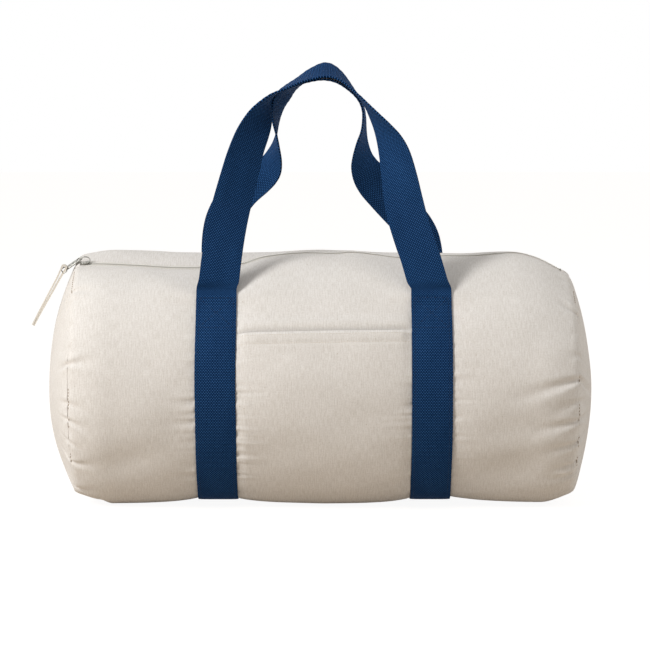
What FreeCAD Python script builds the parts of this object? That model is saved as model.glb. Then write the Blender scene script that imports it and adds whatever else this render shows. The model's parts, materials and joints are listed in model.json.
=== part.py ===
import FreeCAD, Part
import math
import os

# Barrel bag of cotton canvas with webbing straps and handles, a top zip and a slip pocket.
# Millimetres, +Z up, X along the bag, front towards -Y, origin at the middle of the flat base.

# Barrel of canvas
SEAM_TO_SEAM = 478.0
BARREL_RADIUS = 127.0
BASE_WIDTH = 117.8
RIM_DROP = 10.0
SHOULDER_LENGTH = 37.0
CANVAS = 1.0
LEFT_DOME_RISE = 29.0
RIGHT_DOME_RISE = 20.5
BINDING_WIDTH = 8.0
BINDING_THICKNESS = 1.2

# Webbing straps and handles
WEBBING_WIDTH = 38.0
WEBBING_THICKNESS = 1.8
STRAP_SPACING = 202.0
STRAP_TOP_ANGLE = 41.1
GROOVE_RUN_OUT = 9.0
HANDLE_RISE = 219.0
HANDLE_BOW = 8.0
BOX_STITCH_HEIGHT = 30.0

# Slip pocket on the front
POCKET_HEM_HEIGHT = 171.0
POCKET_HEM_DEPTH = 20.0
POCKET_FOOT_HEIGHT = 1.5

# Mouth and its two lips
MOUTH_TO_PARK = 20.0
MOUTH_WIDTH = 104.0

# Zip: where the slider parks at each end, and the chain's section
LEFT_PARK_TO_SEAM = 11.0
RIGHT_PARK_TO_SEAM = 17.0
ZIP_LEFT_Y = -30.0
ZIP_RIGHT_Y = 0.0
ZIP_SINK = 9.5
COIL_WIDTH = 2.1
COIL_HEIGHT = 2.2
COIL_SPLIT = 1.6
TAPE_REACH = 9.0
TAPE_SHELF = 5.2
TAPE_THICKNESS = 0.8
TAPE_OVERRUN = 1.0
ZIP_END_TAB_WIDTH = 14.0
STOP_LENGTH = 1.2

# Slider, with its nose to the left
SLIDER_NOSE = 7.6
SLIDER_THROAT = 4.5
SLIDER_TAIL = 7.0
SLIDER_WIDTH = 9.5
SLIDER_PLATE = 1.0
SLIDER_NECK = 1.0
SLIDER_FLANGE = 0.85
NECK_LENGTH = 3.0
BRIDGE_WIDTH = 2.4
BRIDGE_BAR = 0.8
BRIDGE_POST = 1.0
BRIDGE_REAR = 4.2

# Pull bar and cotton pull tab
PULL_PIN_BACK = 5.2
PULL_PIN_RISE = 5.4
PULL_PIN_RADIUS = 0.6
PULL_LENGTH = 18.5
PULL_THICKNESS = 1.2
PULL_CHEEK = 1.0
PULL_EYE_LENGTH = 10.4
PULL_RING_LENGTH = 5.4
PULL_RING_WIDTH = 12.0
PULL_ROD_RADIUS = 0.8
PULL_DROP_ANGLE = 28.0
TAB_LENGTH = 55.0
TAB_WIDTH = 9.2
TAB_THICKNESS = 5.0
TAB_DROP_ANGLE = 62.0

# Thread
THREAD_WIDTH = 0.8
THREAD_RISE = 0.5
EDGE_STITCH_INSET = 3.0
HEM_STITCH_SPACING = 9.0
TOPSTITCH_INSET = 3.0

# Clearances
SEAT_GAP = 0.3
HINGE_GAP = 0.3
SLIDER_GAP = 0.3
PULL_SIDE_GAP = 0.4
MARGIN = 30.0

# Handle routes from left to right: share of half the strap spacing, share of the rise,
# then X and Z of the direction across the webbing, to the edge that is left at the left foot
FRONT_ROUTE = [
    (-1, 0.001, -1, 0),
    (-1, 0.032, -1, 0),
    (-0.995, 0.06, -1, 0),
    (-0.975, 0.11, -0.99, 0.09),
    (-0.95, 0.208, -0.98, 0.14),
    (-0.915, 0.31, -0.96, 0.18),
    (-0.866, 0.415, -0.93, 0.22),
    (-0.775, 0.573, -0.88, 0.23),
    (-0.726, 0.655, -0.83, 0.19),
    (-0.674, 0.72, -0.8, 0.16),
    (-0.628, 0.77, -0.7, 0.14),
    (-0.586, 0.815, -0.51, 0.12),
    (-0.535, 0.855, -0.24, 0.1),
    (-0.472, 0.887, -0.04, 0.06),
    (-0.374, 0.914, 0.05, -0.03),
    (-0.238, 0.948, 0.06, -0.11),
    (-0.117, 0.976, 0.05, -0.2),
    (0.022, 0.994, 0, -0.28),
    (0.148, 0.969, -0.04, -0.16),
    (0.298, 0.895, 0.01, -0.01),
    (0.391, 0.846, 0.08, 0.04),
    (0.468, 0.8, 0.22, 0.07),
    (0.546, 0.75, 0.4, 0.11),
    (0.611, 0.698, 0.59, 0.14),
    (0.66, 0.634, 0.73, 0.18),
    (0.702, 0.543, 0.85, 0.16),
    (0.737, 0.453, 0.93, 0.16),
    (0.784, 0.361, 0.96, 0.19),
    (0.854, 0.258, 0.96, 0.21),
    (0.895, 0.206, 0.97, 0.18),
    (0.96, 0.105, 0.99, 0.11),
    (0.99, 0.06, 1, 0),
    (1, 0.032, 1, 0),
    (1, 0.001, 1, 0),
]
BACK_ROUTE = [
    (-1, 0.001, -1, 0),
    (-1, 0.032, -1, 0),
    (-1.005, 0.06, -1, 0),
    (-1.03, 0.185, -0.99, 0.01),
    (-0.985, 0.32, -0.95, 0.2),
    (-0.85, 0.43, -0.84, 0.47),
    (-0.68, 0.505, -0.71, 0.61),
    (-0.584, 0.535, -0.63, 0.49),
    (-0.527, 0.562, -0.59, 0.29),
    (-0.491, 0.601, -0.46, 0.11),
    (-0.464, 0.658, -0.21, -0.01),
    (-0.449, 0.706, -0.04, -0.04),
    (-0.445, 0.758, 0.1, -0.04),
    (-0.433, 0.793, 0.18, -0.05),
    (-0.408, 0.832, 0.26, -0.07),
    (-0.362, 0.866, 0.29, -0.11),
    (-0.272, 0.905, 0.16, -0.04),
    (-0.125, 0.945, 0.04, 0.1),
    (0, 0.959, 0, 0.15),
    (0.115, 0.946, -0.03, 0.12),
    (0.243, 0.893, 0.02, 0.05),
    (0.316, 0.853, 0.04, 0.01),
    (0.356, 0.819, 0.05, 0),
    (0.373, 0.78, 0.075, -0.01),
    (0.374, 0.73, 0.13, -0.01),
    (0.362, 0.677, 0.28, 0),
    (0.364, 0.618, 0.48, 0.06),
    (0.39, 0.572, 0.68, 0.15),
    (0.437, 0.53, 0.78, 0.37),
    (0.496, 0.489, 0.75, 0.54),
    (0.585, 0.443, 0.715, 0.62),
    (0.702, 0.386, 0.71, 0.66),
    (0.793, 0.34, 0.72, 0.63),
    (0.891, 0.29, 0.76, 0.57),
    (0.955, 0.235, 0.9, 0.36),
    (0.985, 0.18, 0.98, 0.1),
    (1, 0.11, 1, 0),
    (1, 0.06, 1, 0),
    (1, 0.032, 1, 0),
    (1, 0.001, 1, 0),
]
STEPS_PER_SPAN = 3
TAPE_STATIONS = 7

# Worked out from the sizes above
AXIS_HEIGHT = math.sqrt(BARREL_RADIUS ** 2 - (BASE_WIDTH / 2) ** 2)
RIM_RADIUS = BARREL_RADIUS - RIM_DROP
HALF_LENGTH = SEAM_TO_SEAM / 2
STRAIGHT_HALF = HALF_LENGTH - SHOULDER_LENGTH
LEFT_PARK = LEFT_PARK_TO_SEAM - HALF_LENGTH
RIGHT_PARK = HALF_LENGTH - RIGHT_PARK_TO_SEAM
ZIP_TRAVEL = RIGHT_PARK - LEFT_PARK
ZIP_HEIGHT = AXIS_HEIGHT + BARREL_RADIUS - ZIP_SINK
MOUTH_HALF = RIGHT_PARK - MOUTH_TO_PARK
FAR = SEAM_TO_SEAM + 2 * BARREL_RADIUS
GROOVE_DEPTH = WEBBING_THICKNESS + SEAT_GAP
GROOVE_HALF = WEBBING_WIDTH / 2 + SEAT_GAP
STRAP_CENTRES = (-STRAP_SPACING / 2, STRAP_SPACING / 2)
STRAP_TOP_Y = BARREL_RADIUS * math.cos(math.radians(STRAP_TOP_ANGLE))
STRAP_TOP_HEIGHT = AXIS_HEIGHT + BARREL_RADIUS * math.sin(math.radians(STRAP_TOP_ANGLE))
SLOT_HALF = TAPE_REACH + SEAT_GAP
COIL_OUTER = COIL_SPLIT / 2 + COIL_WIDTH
COIL_TOP = COIL_HEIGHT / 2
PLATE_UNDER = COIL_TOP + SLIDER_GAP
PLATE_OVER = PLATE_UNDER + SLIDER_PLATE
LEFT_STOP_X = LEFT_PARK - SLIDER_THROAT - SLIDER_GAP
RIGHT_STOP_X = RIGHT_PARK + SLIDER_TAIL + SLIDER_GAP
LEFT_ZIP_END = LEFT_STOP_X - STOP_LENGTH - TAPE_OVERRUN
RIGHT_ZIP_END = RIGHT_STOP_X + STOP_LENGTH + TAPE_OVERRUN
ZIP_ANGLE = math.degrees(math.atan2(ZIP_RIGHT_Y - ZIP_LEFT_Y, ZIP_TRAVEL))

X_AXIS = FreeCAD.Vector(1, 0, 0)
Y_AXIS = FreeCAD.Vector(0, 1, 0)
Z_AXIS = FreeCAD.Vector(0, 0, 1)


def block(x0, x1, y0, y1, z0, z1):
    """Box between two corners."""
    return Part.makeBox(x1 - x0, y1 - y0, z1 - z0, FreeCAD.Vector(x0, y0, z0))


def polygon(points):
    """Closed wire through points."""
    return Part.makePolygon(points + points[:1])


def drum(x0, x1, radius):
    """Cylinder about the barrel's axis."""
    return Part.makeCylinder(radius, x1 - x0, FreeCAD.Vector(x0, 0, AXIS_HEIGHT), X_AXIS)


def zip_y(x):
    """Where the chain lies across the bag."""
    share = (x - LEFT_PARK) / ZIP_TRAVEL
    return ZIP_LEFT_Y + (ZIP_RIGHT_Y - ZIP_LEFT_Y) * share


def barrel_core(inset):
    """Round barrel with drawn-in shoulders, smaller by inset, run on past both end seams."""
    big = AXIS_HEIGHT + BARREL_RADIUS - inset
    rim = AXIS_HEIGHT + RIM_RADIUS - inset
    shoulder_mid = big - RIM_DROP / 4
    x_mid = STRAIGHT_HALF + SHOULDER_LENGTH / 2
    x_end = HALF_LENGTH + MARGIN
    outline = [
        FreeCAD.Vector(-x_end, 0, rim),
        FreeCAD.Vector(-HALF_LENGTH, 0, rim),
        FreeCAD.Vector(-x_mid, 0, shoulder_mid),
        FreeCAD.Vector(-STRAIGHT_HALF, 0, big),
        FreeCAD.Vector(STRAIGHT_HALF, 0, big),
        FreeCAD.Vector(x_mid, 0, shoulder_mid),
        FreeCAD.Vector(HALF_LENGTH, 0, rim),
        FreeCAD.Vector(x_end, 0, rim),
        FreeCAD.Vector(x_end, 0, AXIS_HEIGHT),
        FreeCAD.Vector(-x_end, 0, AXIS_HEIGHT),
    ]
    edges = [
        Part.LineSegment(outline[0], outline[1]).toShape(),
        Part.Arc(outline[1], outline[2], outline[3]).toShape(),
        Part.LineSegment(outline[3], outline[4]).toShape(),
        Part.Arc(outline[4], outline[5], outline[6]).toShape(),
        Part.LineSegment(outline[6], outline[7]).toShape(),
        Part.LineSegment(outline[7], outline[8]).toShape(),
        Part.LineSegment(outline[8], outline[9]).toShape(),
        Part.LineSegment(outline[9], outline[0]).toShape(),
    ]
    face = Part.Face(Part.Wire(edges))
    return face.revolve(FreeCAD.Vector(0, 0, AXIS_HEIGHT), X_AXIS, 360)


def strap_groove(centre, inset):
    """What a strap draws in from the canvas, for a hull smaller by inset."""
    x0 = centre - GROOVE_HALF - inset
    x1 = centre + GROOVE_HALF + inset
    floor = GROOVE_DEPTH + inset
    ring = drum(x0, x1, BARREL_RADIUS + MARGIN).cut(drum(x0, x1, BARREL_RADIUS - floor))
    below = block(x0, x1, -FAR, FAR, -FAR, STRAP_TOP_HEIGHT + GROOVE_RUN_OUT + inset)
    return ring.common(below).fuse(block(x0, x1, -FAR, FAR, -FAR, floor))


def hull(inset, half_reach):
    """Whole barrel with its flat base, smaller by inset, between two end planes."""
    solid = barrel_core(inset).common(block(-half_reach, half_reach, -FAR, FAR, inset, FAR))
    for centre in STRAP_CENTRES:
        solid = solid.cut(strap_groove(centre, inset))
    return solid


def skin(under, over):
    """Layer that lies on the barrel between two heights above its surface."""
    return hull(-over, HALF_LENGTH).cut(hull(-under, HALF_LENGTH + MARGIN))


def along_zip(x0, x1, w0, w1, z0, z1):
    """Upright prism that follows the chain in plan, from w0 to w1 across it."""
    points = [
        FreeCAD.Vector(x0, zip_y(x0) + w0, z0),
        FreeCAD.Vector(x1, zip_y(x1) + w0, z0),
        FreeCAD.Vector(x1, zip_y(x1) + w1, z0),
        FreeCAD.Vector(x0, zip_y(x0) + w1, z0),
    ]
    return Part.Face(polygon(points)).extrude(Z_AXIS * (z1 - z0))


def zip_bar(x0, x1, w0, w1, n0, n1):
    """Straight bar that runs with the chain, from w0 to w1 across it and n0 to n1 above it."""
    return along_zip(x0, x1, w0, w1, ZIP_HEIGHT + n0, ZIP_HEIGHT + n1)


def canvas_and_lips():
    """Body panel with its mouth and zip ends cut out, and the two lips of the mouth."""
    shell = hull(0, HALF_LENGTH).cut(hull(CANVAS, HALF_LENGTH + MARGIN))
    wide = MOUTH_WIDTH / 2 + HINGE_GAP / 2
    body = shell.cut(block(-MOUTH_HALF, MOUTH_HALF, -wide, wide, AXIS_HEIGHT, FAR))
    body = body.cut(along_zip(LEFT_ZIP_END - SEAT_GAP, 0, -SLOT_HALF, SLOT_HALF, AXIS_HEIGHT, FAR))
    body = body.cut(along_zip(0, RIGHT_ZIP_END + SEAT_GAP, -SLOT_HALF, SLOT_HALF, AXIS_HEIGHT, FAR))
    reach = MOUTH_HALF - HINGE_GAP
    narrow = MOUTH_WIDTH / 2 - HINGE_GAP / 2
    top = shell.common(block(-reach, reach, -narrow, narrow, AXIS_HEIGHT, FAR))
    front = top.common(along_zip(-reach, reach, -FAR, -SLOT_HALF, AXIS_HEIGHT, FAR))
    back = top.common(along_zip(-reach, reach, SLOT_HALF, FAR, AXIS_HEIGHT, FAR))
    return body, front, back


def dome(x_rim, rise, side):
    """End panel: a shallow dome of canvas with the same flat foot as the barrel."""

    def cap(inset):
        sphere = (RIM_RADIUS ** 2 + rise ** 2) / (2 * rise)
        centre = FreeCAD.Vector(x_rim + side * (rise - sphere), 0, AXIS_HEIGHT)
        ball = Part.makeSphere(sphere - inset, centre)
        outside = block(min(x_rim, side * FAR), max(x_rim, side * FAR), -FAR, FAR, inset, FAR)
        return ball.common(outside)

    return cap(0).cut(cap(CANVAS))


def seam_binding(side):
    """Tape that covers the raw edges of an end seam, inside the bag."""
    outer = CANVAS + SEAT_GAP
    inner = outer + BINDING_THICKNESS
    x_seam = side * HALF_LENGTH
    x_deep = side * (HALF_LENGTH - BINDING_WIDTH)
    x0 = min(x_seam, x_deep)
    x1 = max(x_seam, x_deep)
    rings = []
    for depth in (outer, inner):
        above = block(x0 - MARGIN, x1 + MARGIN, -FAR, FAR, depth, FAR)
        rings.append(drum(x0, x1, RIM_RADIUS - depth).common(above))
    return rings[0].cut(rings[1])


def girth_strap(centre):
    """Strap that runs from the front down, under the base and up the back."""
    x0 = centre - WEBBING_WIDTH / 2
    crest_angle = math.radians(STRAP_TOP_ANGLE) - HINGE_GAP / 2 / BARREL_RADIUS
    faces = {"outer": (BARREL_RADIUS, 0), "inner": (BARREL_RADIUS - WEBBING_THICKNESS, WEBBING_THICKNESS)}
    edges = []
    crests = {}
    for face, (radius, foot_height) in faces.items():
        foot_angle = math.asin((foot_height - AXIS_HEIGHT) / radius)
        feet = []
        for side in (-1, 1):
            arc = []
            for angle in (crest_angle, (crest_angle + foot_angle) / 2, foot_angle):
                y = side * radius * math.cos(angle)
                arc.append(FreeCAD.Vector(x0, y, AXIS_HEIGHT + radius * math.sin(angle)))
            edges.append(Part.Arc(*arc).toShape())
            crests[face, side] = arc[0]
            feet.append(arc[2])
        edges.append(Part.LineSegment(*feet).toShape())
    for side in (-1, 1):
        edges.append(Part.LineSegment(crests["outer", side], crests["inner", side]).toShape())
    section = Part.Face(Part.Wire(Part.__sortEdges__(edges)))
    return section.extrude(X_AXIS * WEBBING_WIDTH)


def smooth_route(keys):
    """Points between the keys of a route, on a smooth curve through every key."""
    found = []
    for i in range(len(keys) - 1):
        before = keys[max(i - 1, 0)]
        start = keys[i]
        end = keys[i + 1]
        after = keys[min(i + 2, len(keys) - 1)]
        for step in range(STEPS_PER_SPAN):
            t = step / STEPS_PER_SPAN
            point = []
            for a, b, c, d in zip(before, start, end, after):
                bend = 2 * a - 5 * b + 4 * c - d
                twist = 3 * b - a - 3 * c + d
                point.append(b + 0.5 * t * (c - a + t * (bend + t * twist)))
            found.append(point)
    found.append(keys[-1])
    return found


def handle_loop(keys, side):
    """Webbing loop that leans in from one side of the bag, bows out a little and turns flat over its top."""
    route = smooth_route(keys)
    points = []
    for across, up, _, _ in route:
        y = side * (STRAP_TOP_Y * (1 - up) + HANDLE_BOW * math.sin(math.pi * up) ** 2)
        points.append(FreeCAD.Vector(across * STRAP_SPACING / 2, y, STRAP_TOP_HEIGHT + up * HANDLE_RISE))
    wires = []
    for i, (_, _, edge_x, edge_z) in enumerate(route):
        ahead = points[min(i + 1, len(points) - 1)]
        behind = points[max(i - 1, 0)]
        along = (ahead - behind).normalize()
        edge_y = side * math.sqrt(max(1 - edge_x ** 2 - edge_z ** 2, 0))
        width = FreeCAD.Vector(edge_x, edge_y, edge_z).normalize()
        inward = width.cross(along).normalize() * -side
        outer = points[i]
        half = width * (WEBBING_WIDTH / 2)
        deep = inward * WEBBING_THICKNESS
        wires.append(polygon([outer - half, outer + half, outer + half + deep, outer - half + deep]))
    return Part.makeLoft(wires, True, True)


def pocket_panel():
    """Slip pocket between the straps, with its folded hem."""
    half = STRAP_SPACING / 2 - GROOVE_HALF - SEAT_GAP
    inner = BARREL_RADIUS + SEAT_GAP
    panel = drum(-half, half, inner + CANVAS)
    panel = panel.common(block(-half, half, -FAR, 0, POCKET_FOOT_HEIGHT, POCKET_HEM_HEIGHT))
    hem = drum(-half, half, inner + 2 * CANVAS)
    hem = hem.common(block(-half, half, -FAR, 0, POCKET_HEM_HEIGHT - POCKET_HEM_DEPTH, POCKET_HEM_HEIGHT))
    return panel.fuse(hem).cut(drum(-half, half, inner)).removeSplitter()


def thread_on(radius, cutter):
    """Thread that lies on a round face inside the cutter's outline."""
    return drum(-FAR, FAR, radius + THREAD_RISE).cut(drum(-FAR, FAR, radius)).common(cutter)


def box_stitches():
    """Square with a cross, sewn where each strap leaves the canvas."""
    high = STRAP_TOP_HEIGHT - EDGE_STITCH_INSET
    low = high - BOX_STITCH_HEIGHT
    found = []
    for centre in STRAP_CENTRES:
        half = WEBBING_WIDTH / 2 - EDGE_STITCH_INSET
        lines = [
            block(centre - half, centre + half, 0, FAR, low, low + THREAD_WIDTH),
            block(centre - half, centre + half, 0, FAR, high - THREAD_WIDTH, high),
            block(centre - half, centre - half + THREAD_WIDTH, 0, FAR, low, high),
            block(centre + half - THREAD_WIDTH, centre + half, 0, FAR, low, high),
        ]
        for slope in (-1, 1):
            start = FreeCAD.Vector(centre - slope * half, 0, low)
            end = FreeCAD.Vector(centre + slope * half, 0, high)
            lean = FreeCAD.Vector(slope * THREAD_WIDTH, 0, 0)
            diagonal = Part.Face(polygon([start, start + lean, end, end - lean]))
            lines.append(diagonal.extrude(Y_AXIS * FAR))
        pattern = lines[0].multiFuse(lines[1:])
        back = thread_on(BARREL_RADIUS, pattern)
        found.append(back)
        found.append(back.mirror(FreeCAD.Vector(0, 0, 0), Y_AXIS))
    return Part.makeCompound(found)


def strap_edge_stitches():
    """Rows of stitching down both edges of each strap, below its box stitch."""
    high = STRAP_TOP_HEIGHT - EDGE_STITCH_INSET - BOX_STITCH_HEIGHT - THREAD_WIDTH
    low = EDGE_STITCH_INSET
    found = []
    for centre in STRAP_CENTRES:
        for edge in (-1, 1):
            x = centre + edge * (WEBBING_WIDTH / 2 - EDGE_STITCH_INSET)
            for y0, y1 in ((-FAR, 0), (0, FAR)):
                row = block(x - THREAD_WIDTH / 2, x + THREAD_WIDTH / 2, y0, y1, low, high)
                found.append(thread_on(BARREL_RADIUS, row))
    return Part.makeCompound(found)


def hem_stitches():
    """Two rows of stitching across the pocket's hem."""
    half = STRAP_SPACING / 2 - GROOVE_HALF - EDGE_STITCH_INSET
    radius = BARREL_RADIUS + SEAT_GAP + 2 * CANVAS
    found = []
    for row in range(2):
        z = POCKET_HEM_HEIGHT - EDGE_STITCH_INSET - row * HEM_STITCH_SPACING
        line = block(-half, half, -FAR, 0, z - THREAD_WIDTH, z)
        found.append(thread_on(radius, line))
    return Part.makeCompound(found)


def lip_topstitch(side):
    """Row of stitching along a lip, beside the zip."""
    reach = MOUTH_HALF - EDGE_STITCH_INSET
    near = side * (SLOT_HALF + TOPSTITCH_INSET)
    far = near + side * THREAD_WIDTH
    row = along_zip(-reach, reach, min(near, far), max(near, far), AXIS_HEIGHT, FAR)
    return skin(0, THREAD_RISE).common(row)


def lip_tape(side):
    """Half of the zip tape: a flat shelf beside the coil that rises to the lip's edge."""
    reach = MOUTH_HALF - HINGE_GAP
    half = TAPE_THICKNESS / 2
    wires = []
    for i in range(TAPE_STATIONS):
        x = -reach + 2 * reach * i / (TAPE_STATIONS - 1)
        y_edge = zip_y(x) + side * TAPE_REACH
        z_edge = AXIS_HEIGHT + math.sqrt(BARREL_RADIUS ** 2 - y_edge ** 2) - CANVAS / 2
        shelf = zip_y(x) + side * TAPE_SHELF
        coil = zip_y(x) + side * COIL_OUTER
        upper = [(coil, ZIP_HEIGHT), (shelf, ZIP_HEIGHT), (y_edge, z_edge)]
        ring = [FreeCAD.Vector(x, y, z + half) for y, z in upper]
        ring += [FreeCAD.Vector(x, y, z - half) for y, z in reversed(upper)]
        wires.append(polygon(ring))
    return Part.makeLoft(wires, True, True)


def mirrored_bars(x0, x1, near, far, low, high):
    """Two zip bars, one each side of the chain."""
    front = zip_bar(x0, x1, -far, -near, low, high)
    back = zip_bar(x0, x1, near, far, low, high)
    return Part.makeCompound([front, back])


def zip_end_tab(x0, x1):
    """Folded canvas that closes the zip between its last stop and the end seam."""
    half = ZIP_END_TAB_WIDTH / 2
    return skin(SEAT_GAP, SEAT_GAP + CANVAS).common(along_zip(x0, x1, -half, half, AXIS_HEIGHT, FAR))


def slider_body():
    """Two plates, the neck between them and the flanges that hold the coils in."""
    half = SLIDER_WIDTH / 2
    tongue = BRIDGE_WIDTH / 2
    slot = TAPE_THICKNESS / 2 + SLIDER_GAP
    solids = [
        block(-SLIDER_THROAT, SLIDER_TAIL, -half, half, PLATE_UNDER, PLATE_OVER),
        block(-SLIDER_THROAT, SLIDER_TAIL, -half, half, -PLATE_OVER, -PLATE_UNDER),
        block(-SLIDER_NOSE, -SLIDER_THROAT, -tongue, tongue, PLATE_UNDER, PLATE_OVER),
        block(
            -SLIDER_THROAT,
            NECK_LENGTH - SLIDER_THROAT,
            -SLIDER_NECK / 2,
            SLIDER_NECK / 2,
            -PLATE_UNDER,
            PLATE_UNDER,
        ),
    ]
    for side in (-1, 1):
        y0 = min(side * half, side * (half - SLIDER_FLANGE))
        y1 = max(side * half, side * (half - SLIDER_FLANGE))
        solids.append(block(-SLIDER_THROAT, SLIDER_TAIL, y0, y1, slot, PLATE_UNDER))
        solids.append(block(-SLIDER_THROAT, SLIDER_TAIL, y0, y1, -PLATE_UNDER, -slot))
    return solids[0].multiFuse(solids[1:]).removeSplitter()


def slider_bridge():
    """Arch on the slider that holds the pull's pin."""
    half = BRIDGE_WIDTH / 2
    under = PULL_PIN_RISE + 2 * PULL_PIN_RADIUS
    top = under + BRIDGE_BAR
    front = block(-SLIDER_NOSE, BRIDGE_POST - SLIDER_NOSE, -half, half, PLATE_OVER, under)
    rear = block(BRIDGE_REAR - BRIDGE_POST, BRIDGE_REAR, -half, half, PLATE_OVER, under)
    bar = block(-SLIDER_NOSE, BRIDGE_REAR, -half, half, under, top)
    return bar.multiFuse([front, rear]).removeSplitter()


def pin(radius, length):
    """Round bar across the pull, centred on the origin."""
    return Part.makeCylinder(radius, length, FreeCAD.Vector(0, -length / 2, 0), Y_AXIS)


def pull_bar():
    """Metal pull: an eye round the slider's bridge, and a ring for the cotton tab."""
    thick = PULL_THICKNESS / 2
    inside = BRIDGE_WIDTH / 2 + PULL_SIDE_GAP
    outside = inside + PULL_CHEEK
    ring_half = PULL_RING_WIDTH / 2
    ring_start = PULL_LENGTH - PULL_RING_LENGTH
    tip = PULL_LENGTH + PULL_ROD_RADIUS
    solids = [
        pin(PULL_PIN_RADIUS, 2 * outside),
        block(-ring_start, -PULL_EYE_LENGTH, -outside, outside, -thick, thick),
        block(-ring_start, PULL_CHEEK - ring_start, -ring_half, ring_half, -thick, thick),
        pin(PULL_ROD_RADIUS, PULL_RING_WIDTH).translate(X_AXIS * -PULL_LENGTH),
    ]
    for side in (-1, 1):
        y0 = min(side * inside, side * outside)
        solids.append(block(-PULL_EYE_LENGTH, PULL_CHEEK, y0, y0 + PULL_CHEEK, -thick, thick))
        y0 = min(side * ring_half, side * (ring_half - PULL_CHEEK))
        solids.append(block(-tip, -ring_start, y0, y0 + PULL_CHEEK, -thick, thick))
    return solids[0].multiFuse(solids[1:]).removeSplitter()


def pull_tab():
    """Cotton tape folded through the pull's ring."""
    half = TAB_WIDTH / 2
    loop = pin(TAB_THICKNESS / 2, TAB_WIDTH)
    tongue = block(-TAB_LENGTH, 0, -half, half, -TAB_THICKNESS / 2, TAB_THICKNESS / 2)
    hole = pin(PULL_ROD_RADIUS + SLIDER_GAP, TAB_WIDTH + MARGIN)
    return loop.fuse(tongue).removeSplitter().cut(hole)


def dropped(shape, degrees):
    """Shape that points left, turned down by an angle about its pin."""
    return shape.rotate(FreeCAD.Vector(0, 0, 0), Y_AXIS, -degrees)


def at_slider(shape):
    """Shape moved from the slider's own frame to where the slider parks."""
    shape.rotate(FreeCAD.Vector(0, 0, 0), Z_AXIS, ZIP_ANGLE)
    return shape.translate(FreeCAD.Vector(LEFT_PARK, ZIP_LEFT_Y, ZIP_HEIGHT))


def turned(vector):
    """Vector from the slider's frame to the bag's."""
    return FreeCAD.Rotation(Z_AXIS, ZIP_ANGLE).multVec(vector)


def build():
    """Every node by name."""
    nodes = {}
    body, front_lip, back_lip = canvas_and_lips()
    nodes["body_panel"] = body
    nodes["front_mouth_lip"] = front_lip
    nodes["back_mouth_lip"] = back_lip
    nodes["left_end_panel"] = dome(-HALF_LENGTH - SEAT_GAP, LEFT_DOME_RISE, -1)
    nodes["right_end_panel"] = dome(HALF_LENGTH + SEAT_GAP, RIGHT_DOME_RISE, 1)
    nodes["left_seam_binding"] = seam_binding(-1)
    nodes["right_seam_binding"] = seam_binding(1)
    nodes["front_pocket_panel"] = pocket_panel()
    nodes["left_girth_strap"] = girth_strap(STRAP_CENTRES[0])
    nodes["right_girth_strap"] = girth_strap(STRAP_CENTRES[1])
    nodes["front_handle_loop"] = handle_loop(FRONT_ROUTE, -1)
    nodes["back_handle_loop"] = handle_loop(BACK_ROUTE, 1)
    nodes["strap_box_stitches"] = box_stitches()
    nodes["strap_edge_stitches"] = strap_edge_stitches()
    nodes["pocket_hem_stitches"] = hem_stitches()

    lip_reach = MOUTH_HALF - HINGE_GAP
    for name, side in (("front", -1), ("back", 1)):
        near = min(side * COIL_SPLIT / 2, side * COIL_OUTER)
        far = max(side * COIL_SPLIT / 2, side * COIL_OUTER)
        nodes[name + "_lip_topstitch"] = lip_topstitch(side)
        nodes[name + "_zip_tape"] = lip_tape(side)
        nodes[name + "_zip_coil"] = zip_bar(-lip_reach, lip_reach, near, far, -COIL_TOP, COIL_TOP)

    tape = TAPE_THICKNESS / 2
    mouth = MOUTH_HALF + HINGE_GAP
    for name, stop, end in (("left", LEFT_STOP_X, LEFT_ZIP_END), ("right", RIGHT_STOP_X, RIGHT_ZIP_END)):
        side = math.copysign(1, stop)
        start = side * mouth
        stop_far = stop + side * STOP_LENGTH
        tab_near = end + side * 2 * SEAT_GAP
        tab_far = side * (HALF_LENGTH - SEAT_GAP)
        coil_x = sorted((start, stop))
        tape_x = sorted((start, end))
        stop_x = sorted((stop, stop_far))
        tab_x = sorted((tab_near, tab_far))
        split = COIL_SPLIT / 2
        nodes[name + "_zip_end_coil"] = mirrored_bars(*coil_x, split, COIL_OUTER, -COIL_TOP, COIL_TOP)
        nodes[name + "_zip_end_tape"] = mirrored_bars(*tape_x, COIL_OUTER, TAPE_REACH, -tape, tape)
        nodes[name + "_zip_stop"] = mirrored_bars(*stop_x, split, COIL_OUTER, -COIL_TOP, COIL_TOP)
        nodes[name + "_zip_end_tab"] = zip_end_tab(*tab_x)

    hinge = FreeCAD.Vector(-PULL_PIN_BACK, 0, PULL_PIN_RISE)
    drop = math.radians(PULL_DROP_ANGLE)
    ring = hinge + FreeCAD.Vector(-math.cos(drop), 0, -math.sin(drop)) * PULL_LENGTH
    nodes["zip_slider"] = at_slider(slider_body())
    nodes["zip_slider_bridge"] = at_slider(slider_bridge())
    nodes["zip_pull_bar"] = at_slider(dropped(pull_bar(), PULL_DROP_ANGLE).translate(hinge))
    nodes["zip_pull_tab"] = at_slider(dropped(pull_tab(), TAB_DROP_ANGLE).translate(ring))

    park = FreeCAD.Vector(LEFT_PARK, ZIP_LEFT_Y, ZIP_HEIGHT)
    run = FreeCAD.Vector(ZIP_TRAVEL, ZIP_RIGHT_Y - ZIP_LEFT_Y, 0)
    lip_height = AXIS_HEIGHT + math.sqrt(BARREL_RADIUS ** 2 - (MOUTH_WIDTH / 2) ** 2)
    print("handle hinges: y", STRAP_TOP_Y, "z", STRAP_TOP_HEIGHT)
    print("lip hinges: y", MOUTH_WIDTH / 2, "z", lip_height)
    print("zip slide:", run.Length, "along", run.normalize())
    print("pull hinge:", park + turned(hinge), "axis", turned(Y_AXIS))
    print("tab hinge:", park + turned(ring))
    return nodes


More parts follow.
